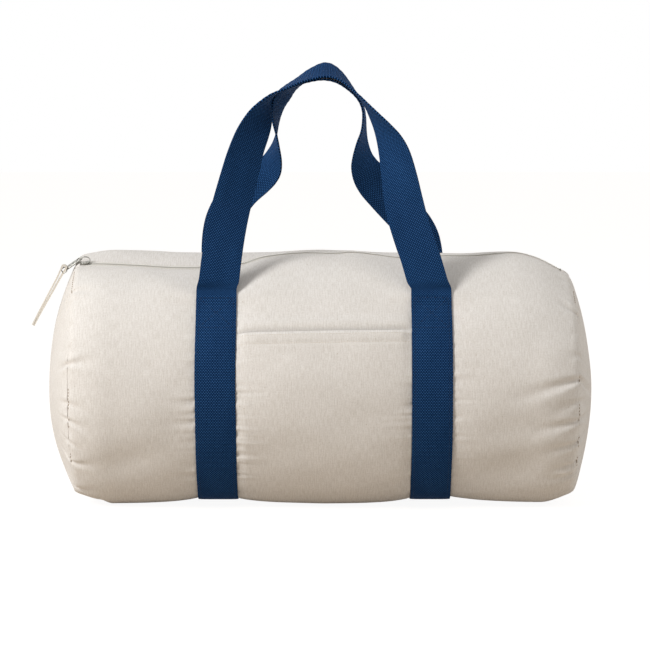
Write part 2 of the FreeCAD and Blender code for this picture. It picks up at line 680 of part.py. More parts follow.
os.makedirs("parts", exist_ok=True)
for node, shape in build().items():
    shape.exportStep("parts/" + node + ".step")
    print(node, "solids", len(shape.Solids), "valid", shape.isValid(), "volume", round(shape.Volume, 1))
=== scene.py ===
"""Looks of a soft canvas barrel bag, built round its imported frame, in metres."""

import json
import logging
import math
import random
from bisect import bisect_right
from dataclasses import dataclass, field
from enum import Enum
from typing import Callable, Optional, Sequence, Union

import bmesh
import bpy
from mathutils import Matrix, Vector, noise


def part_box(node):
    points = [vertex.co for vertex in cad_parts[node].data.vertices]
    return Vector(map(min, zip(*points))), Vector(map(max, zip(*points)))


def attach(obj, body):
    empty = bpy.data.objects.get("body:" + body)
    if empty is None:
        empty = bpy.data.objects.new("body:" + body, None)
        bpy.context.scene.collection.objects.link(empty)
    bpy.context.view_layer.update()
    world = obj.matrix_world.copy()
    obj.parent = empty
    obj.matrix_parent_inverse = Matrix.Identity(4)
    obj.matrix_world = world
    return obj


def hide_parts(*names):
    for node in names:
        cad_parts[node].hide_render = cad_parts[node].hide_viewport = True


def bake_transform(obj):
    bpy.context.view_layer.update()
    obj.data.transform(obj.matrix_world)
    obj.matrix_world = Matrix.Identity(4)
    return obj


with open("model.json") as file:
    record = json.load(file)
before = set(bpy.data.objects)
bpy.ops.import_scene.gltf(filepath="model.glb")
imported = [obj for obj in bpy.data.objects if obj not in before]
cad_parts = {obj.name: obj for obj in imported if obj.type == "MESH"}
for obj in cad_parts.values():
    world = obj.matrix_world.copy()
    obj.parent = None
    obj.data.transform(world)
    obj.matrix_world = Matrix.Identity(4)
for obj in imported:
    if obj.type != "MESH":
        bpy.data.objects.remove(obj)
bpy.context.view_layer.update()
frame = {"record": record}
LOG = logging.getLogger("barrel_bag")
MM = 0.001
STITCH_FILL = 0.84
STITCH_HEIGHT = 0.8
HIDDEN_STEP = 0.06 * MM
MERGE_GAP = 0.001 * MM
WHITE = (1.0, 1.0, 1.0, 1.0)
Pair = tuple[float, float]
Crease = tuple[float, float, float, float, float]
Triple = tuple[float, float, float]
Colour = Triple
Place = Callable[[int, int], Vector]
Line = Callable[[float], Vector]
Piece = bpy.types.Object
Mesh = bmesh.types.BMesh


class Body(Enum):
    """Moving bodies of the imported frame."""

    BAG = "bag"
    FRONT_LIP = "front_lip"
    BACK_LIP = "back_lip"
    FRONT_HANDLE = "front_handle"
    BACK_HANDLE = "back_handle"
    SLIDER = "zip_slider"
    PULL = "zip_pull"
    TAB = "pull_tab"


class Named(Enum):
    """Choice whose name is used in the names of pieces and nodes."""

    @property
    def label(self) -> str:
        """The name in small letters."""
        return self.name.lower()


class Side(Named):
    """Front and back of the bag, with the sign of the turn from its top."""

    FRONT = 1
    BACK = -1


class End(Named):
    """Left and right end of the bag, with the sign of X."""

    LEFT = -1
    RIGHT = 1


def smooth(low: float, high: float, value: float) -> float:
    """Smooth step of a value.

    Args:
        low: value that gives 0.
        high: value that gives 1.
        value: where the step is read.

    Returns:
        A number from 0 to 1.
    """
    share = min(max((value - low) / (high - low), 0.0), 1.0)
    return share * share * (3 - 2 * share)


def soft_max(first: float, second: float, reach: float) -> float:
    """Larger of two lengths, rounded where they meet.

    Args:
        first: one length.
        second: the other length.
        reach: how far from the meeting point the rounding starts.

    Returns:
        The rounded maximum.
    """
    near = max(reach - abs(first - second), 0.0) / reach
    return max(first, second) + near * near * reach / 4


def through(keys: Sequence[tuple[float, ...]], at: float) -> list[float]:
    """Values on a smooth curve through keys.

    Args:
        keys: rows sorted by their first number.
        at: where on the first number the curve is read.

    Returns:
        The other numbers of a row at that place.
    """
    at = min(max(at, keys[0][0]), keys[-1][0])
    index = min(max(bisect_right([key[0] for key in keys], at) - 1, 0), len(keys) - 2)
    before = keys[max(index - 1, 0)]
    start = keys[index]
    end = keys[index + 1]
    after = keys[min(index + 2, len(keys) - 1)]
    span = end[0] - start[0]
    t = (at - start[0]) / span
    found = []
    for a, b, c, d in zip(before[1:], start[1:], end[1:], after[1:]):
        leave = (c - a) / (end[0] - before[0]) * span
        arrive = (d - b) / (after[0] - start[0]) * span
        found.append(
            b * (1 + 2 * t) * (1 - t) ** 2
            + leave * t * (1 - t) ** 2
            + c * t * t * (3 - 2 * t)
            + arrive * t * t * (t - 1)
        )
    return found


def stations(
    low: float, high: float, coarse: float, fine: float, near: Callable[[float], float]
) -> list[float]:
    """Places along a line, closer together where the cloth has fine folds.

    Args:
        low: first place.
        high: last place.
        coarse: widest step.
        fine: narrowest step.
        near: share of the fine step that a place needs, from 0 to 1.

    Returns:
        The places in order.
    """
    found = [low]
    while found[-1] < high:
        found.append(found[-1] + coarse - (coarse - fine) * near(found[-1]))
    stretch = (high - low) / (found[-1] - low)
    return [low + (place - low) * stretch for place in found]


def turn_under(top: float, share: float) -> float:
    """Turn on a strip that runs from the back, under the base and up the front."""
    turn = 360 - top - (360 - 2 * top) * share
    return turn - 360 if turn > 180 else turn


def in_metres(*rows: Triple) -> tuple[Triple, ...]:
    """Rows of millimetres as rows of metres."""
    return tuple(tuple(value * MM for value in row) for row in rows)


def even(length: float, count: int) -> list[float]:
    """Evenly spaced places from 0 to a length."""
    return [length * index / count for index in range(count + 1)]


def webbing_columns(half: float, count: int) -> list[float]:
    """Places across a webbing from one edge to the other, closer together near the edges."""
    return [half * math.sin(math.pi / 2 * (2 * index / count - 1)) + half for index in range(count + 1)]


def squared(angle: float, power: float) -> Pair:
    """Place on a square of half-width 1, whose corners a power below 1 makes sharper.

    Args:
        angle: direction of the place.
        power: 1 for a circle, less for a squarer form.

    Returns:
        The place along and across.
    """
    along = math.cos(angle)
    across = math.sin(angle)
    return math.copysign(abs(along) ** power, along), math.copysign(abs(across) ** power, across)


class Gauge:
    """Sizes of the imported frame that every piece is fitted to."""

    def __init__(self) -> None:
        """Reads the frame's boxes and joints."""
        self.joints = {joint["name"]: joint for joint in frame["record"]["behaviour"]["joints"]}
        strap_low, strap_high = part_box("left_girth_strap")
        right_low, right_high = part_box("right_girth_strap")
        handle = self.joints["front_handle_swing"]["pos_m"]
        self.radius = strap_high.y
        self.axis_height = handle[2] - math.sqrt(self.radius**2 - handle[1] ** 2)
        lip = self.joints["front_lip_open"]["pos_m"]
        self.hinge_turn = math.degrees(math.asin(-lip[1] / self.radius))
        self.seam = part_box("body_panel")[1].x
        self.strap_x = ((strap_low.x + strap_high.x) / 2, (right_low.x + right_high.x) / 2)
        self.strap_half = (strap_high.x - strap_low.x) / 2
        self.tips = {End.LEFT: -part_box("left_end_panel")[0].x, End.RIGHT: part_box("right_end_panel")[1].x}
        self.handle_root = Vector((0, -handle[1], handle[2]))
        self.pull_pin = Vector(self.joints["pull_swing"]["pos_m"])
        self.tab_pin = Vector(self.joints["tab_swing"]["pos_m"])
        along = self.joints["zip_slide"]["axis"]
        self.zip_angle = math.atan2(along[1], along[0])


@dataclass(frozen=True)
class Pucker:
    """Small crease that runs in from an end seam."""

    turn: float
    reach: float
    depth: float
    width: float
    drift: float


@dataclass(frozen=True)
class Hollow:
    """Flat triangle of canvas drawn from the top of a strap up to the zip."""

    x: float
    left_reach: float
    right_reach: float
    side: Side
    depth: float


@dataclass
class BarrelForm:
    """Filled form of the canvas, from which every cloth piece takes its surface.

    A place on it is X and a turn in degrees from the top, positive towards the front.
    """

    gauge: Gauge
    shoulder: float = 37 * MM
    rim_drop: float = 10 * MM
    left_rim_share: float = 0.6
    left_rim_turns: Pair = (20, 60)
    right_fall: float = 14 * MM
    right_fall_start: float = 178 * MM
    right_fall_turns: Pair = (25, 80)
    strap_start: Pair = (42, 50)
    strap_pinch: float = 2.2 * MM
    strap_spread: float = 22 * MM
    strap_calm: float = 12 * MM
    pillow: float = 2.0 * MM
    strap_lift: float = 7.2 * MM
    strap_lift_reach: float = 26 * MM
    floor_gap: float = 0.4 * MM
    base_round: float = 9 * MM
    base_rises: Sequence[tuple[End, float, float, float]] = (
        (End.RIGHT, 2.2 * MM, 95 * MM, 140 * MM),
        (End.LEFT, 5 * MM, 203 * MM, 214 * MM),
        (End.LEFT, 6 * MM, 212 * MM, 240 * MM),
        (End.RIGHT, 9 * MM, 208 * MM, 241 * MM),
    )
    groove_depth: float = 3.0 * MM
    groove_width: float = 6 * MM
    zip_front_spread: float = 40 * MM
    zip_back_spread: float = 26 * MM
    zip_draw: float = 100
    gather: float = 1.7 * MM
    gather_reach: float = 15 * MM
    gather_least_reach: float = 3 * MM
    gather_cut: float = 30 * MM
    gather_turns: Pair = (50, 105)
    gather_shares: Pair = (0.4, 0.75)
    swell_shares: Pair = (0.85, 0.8)
    swell_rate: float = 26
    reach_shares: Pair = (0.75, 0.9)
    reach_rate: float = 60
    crimp_rates: Pair = (150, 22)
    fine_crimp: float = 0.4
    fine_crimp_rate: float = 290
    slack_waves: Sequence[tuple[float, float, float, float]] = (
        (1.3 * MM, 11, 1.6, 0),
        (0.55 * MM, 28, 4.2, 7),
    )
    crease_widths: Pair = (0.7, 1.7)
    crease_cut: float = 5
    crease_fade: float = 1.3
    crease_ridge: float = 0.42
    ridge_spread: float = 2.4
    seed: int = 11
    loose_start: float = -176.0
    loose_front: float = 20
    loose_clear: float = 6
    loose_deep: Pair = (2.0 * MM, 4.2 * MM)
    loose_shallow: Pair = (0.8 * MM, 1.8 * MM)
    loose_reach: Pair = (9 * MM, 26 * MM)
    loose_width: Pair = (1.3, 2.2)
    loose_drift: Pair = (-4, 4)
    loose_step: Pair = (7, 13)
    hollow_foot: float = 46
    hollow_rise: float = 33
    hollow_top: float = 1.6
    hollow_half: float = 18 * MM
    hollow_edge: Pair = (0.5, 1.3)
    hollow_power: float = 0.8
    dent_lean: float = 0.35
    pocket_half: float = 81.6 * MM
    hem_turn: float = 61.9
    hem_rise: float = 1.35
    hem_sag: float = 0.3
    roll_turns: Pair = (40, 70)
    roll_rise: float = 1.4 * MM
    roll_height: float = 9.5 * MM
    roll_spread: float = 6 * MM
    roll_sink: float = 1.3 * MM
    sink_spread: float = 3.5 * MM
    roll_edge: Pair = (-2 * MM, 8 * MM)
    roll_start: Pair = (-3 * MM, -0.5 * MM)
    probe: float = 1 * MM
    probe_turn: float = 0.5
    zip_keys: Sequence[Triple] = in_metres(
        (-240, -31, 1.5), (-235, -31, 3.3), (-226, -32, 5.6), (-205, -33, 7.6),
        (-165, -33, 8.1), (-121, -31, 8.1), (-79, -24, 6.4), (-59, -17, 2.2),
        (-34, -9, 0.9), (9, -5, 1.0), (28, -5, -0.5), (53, -8, 2.2),
        (72, -12, 4.5), (95, -11, 4.0), (115, -9, 3.3), (145, -6, 3.1),
        (166, -3, 2.4), (189, 0, 1.9), (219, 0, 1.2), (240, 0, 0.6),
    )
    left_creases: Sequence[Crease] = (
        (38, 30 * MM, 4.2 * MM, 1.5, 3), (75, 34 * MM, 4.4 * MM, 1.5, -1),
        (93, 26 * MM, 3.0 * MM, 1.6, 3), (101, 26 * MM, 3.6 * MM, 1.4, 4),
        (112, 18 * MM, 2.6 * MM, 1.5, 3), (123, 30 * MM, 4.2 * MM, 1.3, -2),
        (141, 28 * MM, 3.8 * MM, 1.8, -3),
    )
    right_creases: Sequence[Crease] = (
        (47, 20 * MM, 6.0 * MM, 1.6, -4), (71, 16 * MM, 2.6 * MM, 1.6, 1),
        (82, 78 * MM, 5.8 * MM, 1.9, 10), (92, 34 * MM, 3.4 * MM, 1.8, 5),
        (101, 54 * MM, 5.6 * MM, 1.6, 4), (112, 42 * MM, 6.2 * MM, 1.6, 3),
        (123, 36 * MM, 6.2 * MM, 1.5, 3), (130, 42 * MM, 5.6 * MM, 1.5, -1),
        (143, 28 * MM, 4.0 * MM, 1.5, -3),
    )
    dents: Sequence[Crease] = (
        (-186 * MM, 119, 34 * MM, 17 * MM, 3.0 * MM), (-140 * MM, 100, 24 * MM, 30 * MM, 1.2 * MM),
        (188 * MM, 103, 40 * MM, 15 * MM, 2.2 * MM), (178 * MM, 123, 46 * MM, 24 * MM, 5.0 * MM),
        (205 * MM, 62, 22 * MM, 22 * MM, 1.4 * MM), (-30 * MM, 112, 46 * MM, 18 * MM, 1.6 * MM),
        (42 * MM, 98, 36 * MM, 16 * MM, 1.4 * MM),
    )
    puckers: dict[End, list[Pucker]] = field(default_factory=dict)
    hollows: list[Hollow] = field(default_factory=list)

    def __post_init__(self) -> None:
        """Sets out the seam creases and the hollows beside the straps."""
        rng = random.Random(self.seed)
        for end, creases in ((End.LEFT, self.left_creases), (End.RIGHT, self.right_creases)):
            found = [Pucker(*crease) for crease in creases]
            turn = self.loose_start
            while turn < 180:
                taken = any(abs(turn - pucker.turn) < self.loose_clear for pucker in found)
                depth = rng.uniform(*(self.loose_deep if turn < self.loose_front else self.loose_shallow))
                reach = rng.uniform(*self.loose_reach)
                if not taken:
                    width = rng.uniform(*self.loose_width)
                    found.append(Pucker(turn, reach, depth, width, rng.uniform(*self.loose_drift)))
                turn += rng.uniform(*self.loose_step)
            self.puckers[end] = found
        left, right = self.gauge.strap_x
        self.hollows = [
            Hollow(left, 86 * MM, 75 * MM, Side.FRONT, 3.2 * MM),
            Hollow(right, 92 * MM, 62 * MM, Side.FRONT, 3.0 * MM),
            Hollow(left, 60 * MM, 80 * MM, Side.BACK, 3.0 * MM),
            Hollow(right, 78 * MM, 50 * MM, Side.BACK, 3.0 * MM),
        ]

    def strap_gap(self, x: float) -> float:
        """Distance of a place from the nearest strap's edge, below 0 under the strap."""
        return min(abs(x - centre) for centre in self.gauge.strap_x) - self.gauge.strap_half

    def zip_turn(self, x: float) -> float:
        """Turn at which the zip's chain lies."""
        across, _ = through(self.zip_keys, x)
        return math.degrees(math.asin(-across / self.gauge.radius))

    def arc(self, turn: float) -> float:
        """Length of arc on the canvas that a turn takes."""
        return math.radians(turn) * self.gauge.radius

    def arc_turn(self, arc: float) -> float:
        """Turn that a length of arc on the canvas takes."""
        return math.degrees(arc / self.gauge.radius)

    def pucker(self, end: End, turn: float, gap: float) -> float:
        """Depth of the seam creases.

        Args:
            end: which end of the bag.
            turn: place round the seam.
            gap: distance from the seam.

        Returns:
            How far the cloth lies below its smooth form.
        """
        found = 0.0
        for crease in self.puckers[end]:
            if gap >= crease.reach:
                continue
            share = gap / crease.reach
            away = (turn - crease.turn - crease.drift * share + 180) % 360 - 180
            width = crease.width * (self.crease_widths[0] + self.crease_widths[1] * share)
            if abs(away) > self.crease_cut * width:
                continue
            step = away / width
            ridge = self.crease_ridge * math.exp(-((step / self.ridge_spread) ** 2))
            found += crease.depth * (1 - share) ** self.crease_fade * (math.exp(-step * step) - ridge)
        return found

    def hollow(self, x: float, turn: float) -> float:
        """Depth of the flat triangles beside the straps.

        Args:
            x: place along the bag.
            turn: place round it.

        Returns:
            How far the cloth lies below its smooth form.
        """
        found = 0.0
        for flat in self.hollows:
            up = (self.hollow_foot - turn * flat.side.value) / self.hollow_rise
            if not 0 < up < self.hollow_top:
                continue
            reach = flat.right_reach if x > flat.x else flat.left_reach
            half = self.hollow_half + (reach - self.hollow_half) * up
            rise = math.sin(math.pi * up / self.hollow_top) ** self.hollow_power
            found += flat.depth * rise * (1 - smooth(*self.hollow_edge, abs(x - flat.x) / half))
        return found

    def zip_dip(self, x: float, turn: float) -> float:
        """How far the zip draws the canvas down.

        Args:
            x: place along the bag.
            turn: place round it.

        Returns:
            The depth there.
        """
        if abs(turn) > self.zip_draw:
            return 0.0
        across, sink = through(self.zip_keys, x)
        radius = self.gauge.radius
        arc = self.arc(turn) - math.asin(-across / radius) * radius
        spread = self.zip_front_spread if arc > 0 else self.zip_back_spread
        return sink * math.exp(-((arc / spread) ** 2))

    def ripple(self, x: float, turn: float) -> float:
        """Gathers in the canvas along the sewn edges of the straps.

        Args:
            x: place along the bag.
            turn: place round it.

        Returns:
            How far the cloth lies above its smooth form.
        """
        gap = self.strap_gap(x)
        if not 0 <= gap < self.gather_cut:
            return 0.0
        arc = self.arc(turn)
        centre = min(self.gauge.strap_x, key=lambda middle: abs(x - middle))
        edge = (2 if centre > 0 else 0) + (1 if x > centre else 0)
        swell = noise.noise(Vector((arc * self.swell_rate, edge * 3.7, 1.0)))
        reach = noise.noise(Vector((arc * self.reach_rate, edge * 1.9, 5.0)))
        reach = self.gather_reach * (self.reach_shares[0] + self.reach_shares[1] * reach)
        crimp = noise.noise(Vector((arc * self.crimp_rates[0], edge * 5.3, gap * self.crimp_rates[1])))
        crimp += self.fine_crimp * noise.noise(Vector((arc * self.fine_crimp_rate, edge, 8.0)))
        low = self.gather_shares[0] + self.gather_shares[1] * smooth(*self.gather_turns, abs(turn))
        height = self.gather * low * (self.swell_shares[0] + self.swell_shares[1] * swell) * crimp
        return height * math.exp(-gap / max(reach, self.gather_least_reach))

    def hem_at(self, x: float) -> float:
        """Turn of the folded edge of the pocket's hem."""
        share = x / self.pocket_half
        return self.hem_turn - self.hem_rise / 2 * share + self.hem_sag * (1 - share * share)

    def pocket_roll(self, x: float, turn: float) -> float:
        """How far the canvas bulges over the pocket's mouth and turns in behind its hem.

        Args:
            x: place along the bag.
            turn: place round it.

        Returns:
            The height over its smooth form.
        """
        if abs(x) >= self.pocket_half or not self.roll_turns[0] < turn < self.roll_turns[1]:
            return 0.0
        above = self.arc(self.hem_at(x) - turn)
        bulge = self.roll_rise * math.exp(-(((above - self.roll_height) / self.roll_spread) ** 2))
        valley = self.roll_sink * math.exp(-((above / self.sink_spread) ** 2))
        edge = smooth(*self.roll_edge, self.pocket_half - abs(x))
        return (bulge - valley) * edge * smooth(*self.roll_start, above)

    def dent(self, x: float, turn: float) -> float:
        """Depth of the broad soft dents in the front.

        Args:
            x: place along the bag.
            turn: place round it.

        Returns:
            How far the cloth lies below its smooth form.
        """
        found = 0.0
        for across, middle, wide, tall, depth in self.dents:
            aside = (x - across) / wide
            below = self.arc(turn - middle) / tall + self.dent_lean * aside
            found += depth * math.exp(-(aside**2) - below**2)
        return found

    def slack(self, x: float, turn: float) -> float:
        """Broad uneven fullness of the canvas.

        Args:
            x: place along the bag.
            turn: place round it.

        Returns:
            The height over its smooth form.
        """
        angle = math.radians(turn)
        found = 0.0
        for height, along, around, shift in self.slack_waves:
            spot = Vector((x * along + shift, around * math.sin(angle), around * math.cos(angle)))
            found += height * noise.noise(spot)
        return found

    def radius_at(self, x: float, turn: float) -> float:
        """Distance of the canvas from the barrel's axis.

        Args:
            x: place along the bag.
            turn: place round it, in degrees from the top.

        Returns:
            The radius there, before the floor flattens it.
        """
        gauge = self.gauge
        side = abs(turn)
        end = End.RIGHT if x > 0 else End.LEFT
        seam_gap = gauge.seam - abs(x)
        strapped = smooth(*self.strap_start, side)
        gap = max(self.strap_gap(x), 0.0)
        free = 1 - math.exp(-gap / self.strap_spread)
        shoulder = max(self.shoulder - seam_gap, 0.0) / self.shoulder
        drop = self.rim_drop
        if end is End.LEFT:
            drop *= self.left_rim_share + (1 - self.left_rim_share) * smooth(*self.left_rim_turns, side)
        found = gauge.radius - drop * shoulder**2
        fall = self.right_fall * smooth(self.right_fall_start, gauge.seam, x)
        found -= fall * (1 - smooth(*self.right_fall_turns, side))
        found += strapped * ((self.strap_pinch + self.pillow) * free - self.strap_pinch)
        found += (1 - strapped) * self.pillow
        if seam_gap < self.groove_width:
            found -= self.groove_depth * (1 - seam_gap / self.groove_width) ** 2
        found -= self.pucker(end, turn, seam_gap)
        found -= self.hollow(x, turn) + self.zip_dip(x, turn) + self.dent(x, turn)
        found += strapped * self.ripple(x, turn) + self.pocket_roll(x, turn)
        found += self.slack(x, turn) * (1 - strapped * math.exp(-gap / self.strap_calm))
        return found

    def floor_at(self, x: float) -> float:
        """Height at which the canvas lies along the base.

        Args:
            x: place along the bag.

        Returns:
            The height over the floor.
        """
        gap = max(self.strap_gap(x), 0.0)
        found = self.floor_gap + self.strap_lift * math.exp(-gap / self.strap_lift_reach)
        for end, rise, start, stop in self.base_rises:
            found += rise * smooth(start, stop, x * end.value)
        return found

    def point(self, x: float, turn: float, lift: float = 0.0) -> Vector:
        """Place on or above the canvas.

        Args:
            x: place along the bag.
            turn: place round it, in degrees from the top.
            lift: distance outside the canvas.

        Returns:
            The point in the bag's frame.
        """
        radius = self.radius_at(x, turn) + lift
        angle = math.radians(turn)
        height = self.gauge.axis_height + radius * math.cos(angle)
        height = soft_max(height, self.floor_at(x) - lift, self.base_round)
        return Vector((x, -radius * math.sin(angle), height))

    def normal(self, x: float, turn: float) -> Vector:
        """Outward direction of the canvas.

        Args:
            x: place along the bag.
            turn: place round it.

        Returns:
            The direction, of length 1.
        """
        along = self.point(x + self.probe, turn) - self.point(x - self.probe, turn)
        around = self.point(x, turn - self.probe_turn) - self.point(x, turn + self.probe_turn)
        return along.cross(around).normalized()


class Sock:
    """Output of a shader node, whose operators add Math nodes."""

    def __init__(self, graph: "Graph", socket: bpy.types.NodeSocket) -> None:
        """Keeps the socket and its graph."""
        self.graph = graph
        self.socket = socket

    def maths(self, operation: str, *others: Union["Sock", float]) -> "Sock":
        """Math node with this value first."""
        return self.graph.add("ShaderNodeMath", {"operation": operation}, dict(enumerate((self, *others))))

    def __add__(self, other: Union["Sock", float]) -> "Sock":
        """Sum."""
        return self.maths("ADD", other)

    __radd__ = __add__

    def __sub__(self, other: Union["Sock", float]) -> "Sock":
        """Difference."""
        return self.maths("SUBTRACT", other)

    def __rsub__(self, other: float) -> "Sock":
        """Difference from a number."""
        return self.graph.add("ShaderNodeMath", {"operation": "SUBTRACT"}, {0: other, 1: self})

    def __mul__(self, other: Union["Sock", float]) -> "Sock":
        """Product."""
        return self.maths("MULTIPLY", other)

    __rmul__ = __mul__

    def step(self, low: float, high: float) -> "Sock":
        """Smooth step of this value from 0 at low to 1 at high."""
        limits = {"Value": self, "From Min": low, "From Max": high}
        return self.graph.add("ShaderNodeMapRange", {"interpolation_type": "SMOOTHSTEP"}, limits)


Value = Union[Sock, float, Sequence[float]]
Key = Union[int, str]


class Graph:
    """Node tree of one material or of the world."""

    def __init__(self, owner: Union[bpy.types.Material, bpy.types.World]) -> None:
        """Starts with an empty tree.

        Args:
            owner: the new material or world.
        """
        owner.use_nodes = True
        self.owner = owner
        self.tree = owner.node_tree
        self.tree.nodes.clear()

    def add(self, kind: str, settings: dict[str, object], values: dict[Key, Value], out: Key = 0) -> Sock:
        """Adds a node.

        Args:
            kind: the node's type.
            settings: attributes that are set first.
            values: numbers or links for its inputs.
            out: which output is returned.

        Returns:
            The chosen output.
        """
        node = self.tree.nodes.new(kind)
        for key, value in settings.items():
            setattr(node, key, value)
        for key, value in values.items():
            if isinstance(value, Sock):
                self.tree.links.new(value.socket, node.inputs[key])
            else:
                node.inputs[key].default_value = value
        return Sock(self, node.outputs[out])

    def noise(self, where: Sock, scale: Sequence[float], detail: float = 2.0) -> Sock:
        """Noise stretched by a scale on each axis."""
        stretched = self.add("ShaderNodeMapping", {}, {"Vector": where, "Scale": scale})
        return self.add("ShaderNodeTexNoise", {}, {"Vector": stretched, "Scale": 1.0, "Detail": detail})

    def mix(self, share: Value, first: Value, second: Value, blend: str = "MIX") -> Sock:
        """Mix of two colours."""
        colours = {0: share, 6: first, 7: second}
        return self.add("ShaderNodeMix", {"data_type": "RGBA", "blend_type": blend}, colours, out=2)

    def cloth(self) -> Sock:
        """The piece's own cloth coordinates, in metres."""
        return self.add("ShaderNodeUVMap", {"uv_map": "cloth"}, {})

    def place(self) -> Sock:
        """Object coordinates, in metres."""
        return self.add("ShaderNodeTexCoord", {}, {}, out=3)

    def split(self, where: Sock, axis: int) -> Sock:
        """One number of a vector."""
        return self.add("ShaderNodeSeparateXYZ", {}, {0: where}, out=axis)

    def seen(self) -> Sock:
        """Tells the rays that look at something from those that light it.

        Returns:
            1 for rays from the camera, from a shiny surface or through a clear one, else 0.
        """
        kinds = ("Is Camera Ray", "Is Glossy Ray", "Is Transmission Ray")
        first, second, third = (self.add("ShaderNodeLightPath", {}, {}, out=kind) for kind in kinds)
        return first.maths("MAXIMUM", second).maths("MAXIMUM", third)

    def finish(self, values: dict[Key, Value], height: Optional[Sock] = None, depth: float = 0.0) -> None:
        """Ends the graph in a Principled shader.

        Args:
            values: inputs of the shader.
            height: relief of the surface, if it has one.
            depth: how deep the relief is.
        """
        inputs = dict(values)
        if height is not None:
            relief = {"Height": height, "Distance": depth, "Strength": 1.0}
            inputs["Normal"] = self.add("ShaderNodeBump", {}, relief)
        self.end(self.add("ShaderNodeBsdfPrincipled", {}, inputs))

    def end(self, shader: Sock, kind: str = "ShaderNodeOutputMaterial") -> None:
        """Links a shader to the output of the material or the world."""
        node = self.tree.nodes.new(kind)
        self.tree.links.new(shader.socket, node.inputs["Surface"])


def material_graph(name: str) -> Graph:
    """Graph of a new material."""
    return Graph(bpy.data.materials.new(name))


def opaque(colour: Colour) -> tuple[float, float, float, float]:
    """Colour with full alpha."""
    return (*colour, 1.0)


@dataclass(frozen=True)
class CanvasFinish:
    """Plain-woven natural cotton with uneven yarns and dark seed flecks."""

    name: str = "natural_canvas"
    slot: str = "canvas"
    yarn_colour: Colour = (0.866, 0.840, 0.812)
    shade_colour: Colour = (0.640, 0.600, 0.552)
    fleck_colour: Colour = (0.42, 0.32, 0.22)
    warp_rate: Triple = (1050, 110, 1)
    weft_rate: Triple = (160, 1100, 1)
    grain_rate: Triple = (780, 620, 1)
    cloud_rate: Triple = (16, 16, 1)
    fleck_rate: Triple = (520, 380, 1)
    contrast: Pair = (0.3, 0.7)
    yarn_pitch: float = 0.75 * MM
    fleck_start: float = 0.745
    fleck_ramp: float = 0.05
    fleck_share: float = 0.55
    relief: float = 0.16 * MM

    def material(self) -> bpy.types.Material:
        """Builds the node material.

        Returns:
            The material.
        """
        graph = material_graph(self.name)
        cloth = graph.cloth()
        warp = graph.noise(cloth, self.warp_rate, 3.0)
        weft = graph.noise(cloth, self.weft_rate, 3.0)
        grain = graph.noise(cloth, self.grain_rate, 2.0)
        cloud = graph.noise(cloth, self.cloud_rate, 4.0)
        seeds = graph.noise(cloth, self.fleck_rate, 1.0)
        turns = math.pi / self.yarn_pitch
        over = (graph.split(cloth, 0) * turns).maths("SINE") * (graph.split(cloth, 1) * turns).maths("SINE")
        streak = warp.step(*self.contrast) * 0.42 + weft.step(*self.contrast) * 0.12
        tone = streak + grain.step(*self.contrast) * 0.28 + cloud.step(*self.contrast) * 0.12 + 0.08
        colour = graph.mix(tone, opaque(self.shade_colour), opaque(self.yarn_colour))
        fleck = seeds.step(self.fleck_start, self.fleck_start + self.fleck_ramp) * self.fleck_share
        colour = graph.mix(fleck, colour, opaque(self.fleck_colour))
        height = over * 0.30 + warp * 0.55 + weft * 0.40
        surface = {
            "Base Color": colour,
            "Roughness": 0.93,
            "Specular IOR Level": 0.2,
            "Sheen Weight": 0.12,
            "Sheen Roughness": 0.6,
        }
        graph.finish(surface, height, self.relief)
        return graph.owner


@dataclass(frozen=True)
class WebbingFinish:
    """Navy webbing with staggered raised picks, painted lighter on the picks as painted highlight and darker
    between them as painted shade.
    """

    name: str = "navy_webbing"
    slot: str = "webbing"
    # Painted shade in the gaps between the picks, and painted highlight on the picks.
    shaded_gap_colour: Colour = (0.0020, 0.0130, 0.0460)
    lit_pick_colour: Colour = (0.0480, 0.1560, 0.4050)
    tint: Colour = (0.25, 0.55, 1.0)
    pitch_across: float = 2.4 * MM
    pitch_along: float = 1.45 * MM
    fibre_rate: Triple = (900, 220, 1)
    cloud_rate: Triple = (40, 14, 1)
    relief: float = 0.32 * MM

    def material(self) -> bpy.types.Material:
        """Builds the node material.

        Returns:
            The material.
        """
        graph = material_graph(self.name)
        cloth = graph.cloth()
        row = graph.split(cloth, 1) * (1 / self.pitch_along)
        stagger = row.maths("FLOOR").maths("MULTIPLY", 0.5)
        column = graph.split(cloth, 0) * (1 / self.pitch_across) + stagger
        across = column.maths("FRACT") * 2 - 1
        along = row.maths("FRACT") * 2 - 1
        pick = (1 - across * across) * (1 - along * along)
        fibre = graph.noise(cloth, self.fibre_rate, 3.0)
        cloud = graph.noise(cloth, self.cloud_rate, 3.0)
        # Painted light: the picks take the lighter colour as painted highlight and the gaps the dark one as
        # painted shade; fibre and cloud vary the tone at random.
        painted_pick_light = pick.step(0.25, 0.95) * (fibre * 0.7 + 0.4) * (cloud * 0.6 + 0.55)
        colour = graph.mix(painted_pick_light, opaque(self.shaded_gap_colour), opaque(self.lit_pick_colour))
        surface = {
            "Base Color": colour,
            "Roughness": 0.68,
            "Specular IOR Level": 0.03,
            "Specular Tint": opaque(self.tint),
        }
        graph.finish(surface, pick * 0.8 + fibre * 0.2, self.relief)
        return graph.owner


@dataclass(frozen=True)
class ThreadFinish:
    """Twisted sewing thread."""

    name: str
    slot: str
    colour: Colour
    dark_colour: Colour
    twist_rate: Triple = (1800, 1800, 1800)
    relief: float = 0.1 * MM

    def material(self) -> bpy.types.Material:
        """Builds the node material.

        Returns:
            The material.
        """
        graph = material_graph(self.name)
        twist = graph.noise(graph.place(), self.twist_rate, 1.0)
        colour = graph.mix(twist.step(0.35, 0.65), opaque(self.dark_colour), opaque(self.colour))
        graph.finish({"Base Color": colour, "Roughness": 0.7, "Specular IOR Level": 0.15}, twist, self.relief)
        return graph.owner


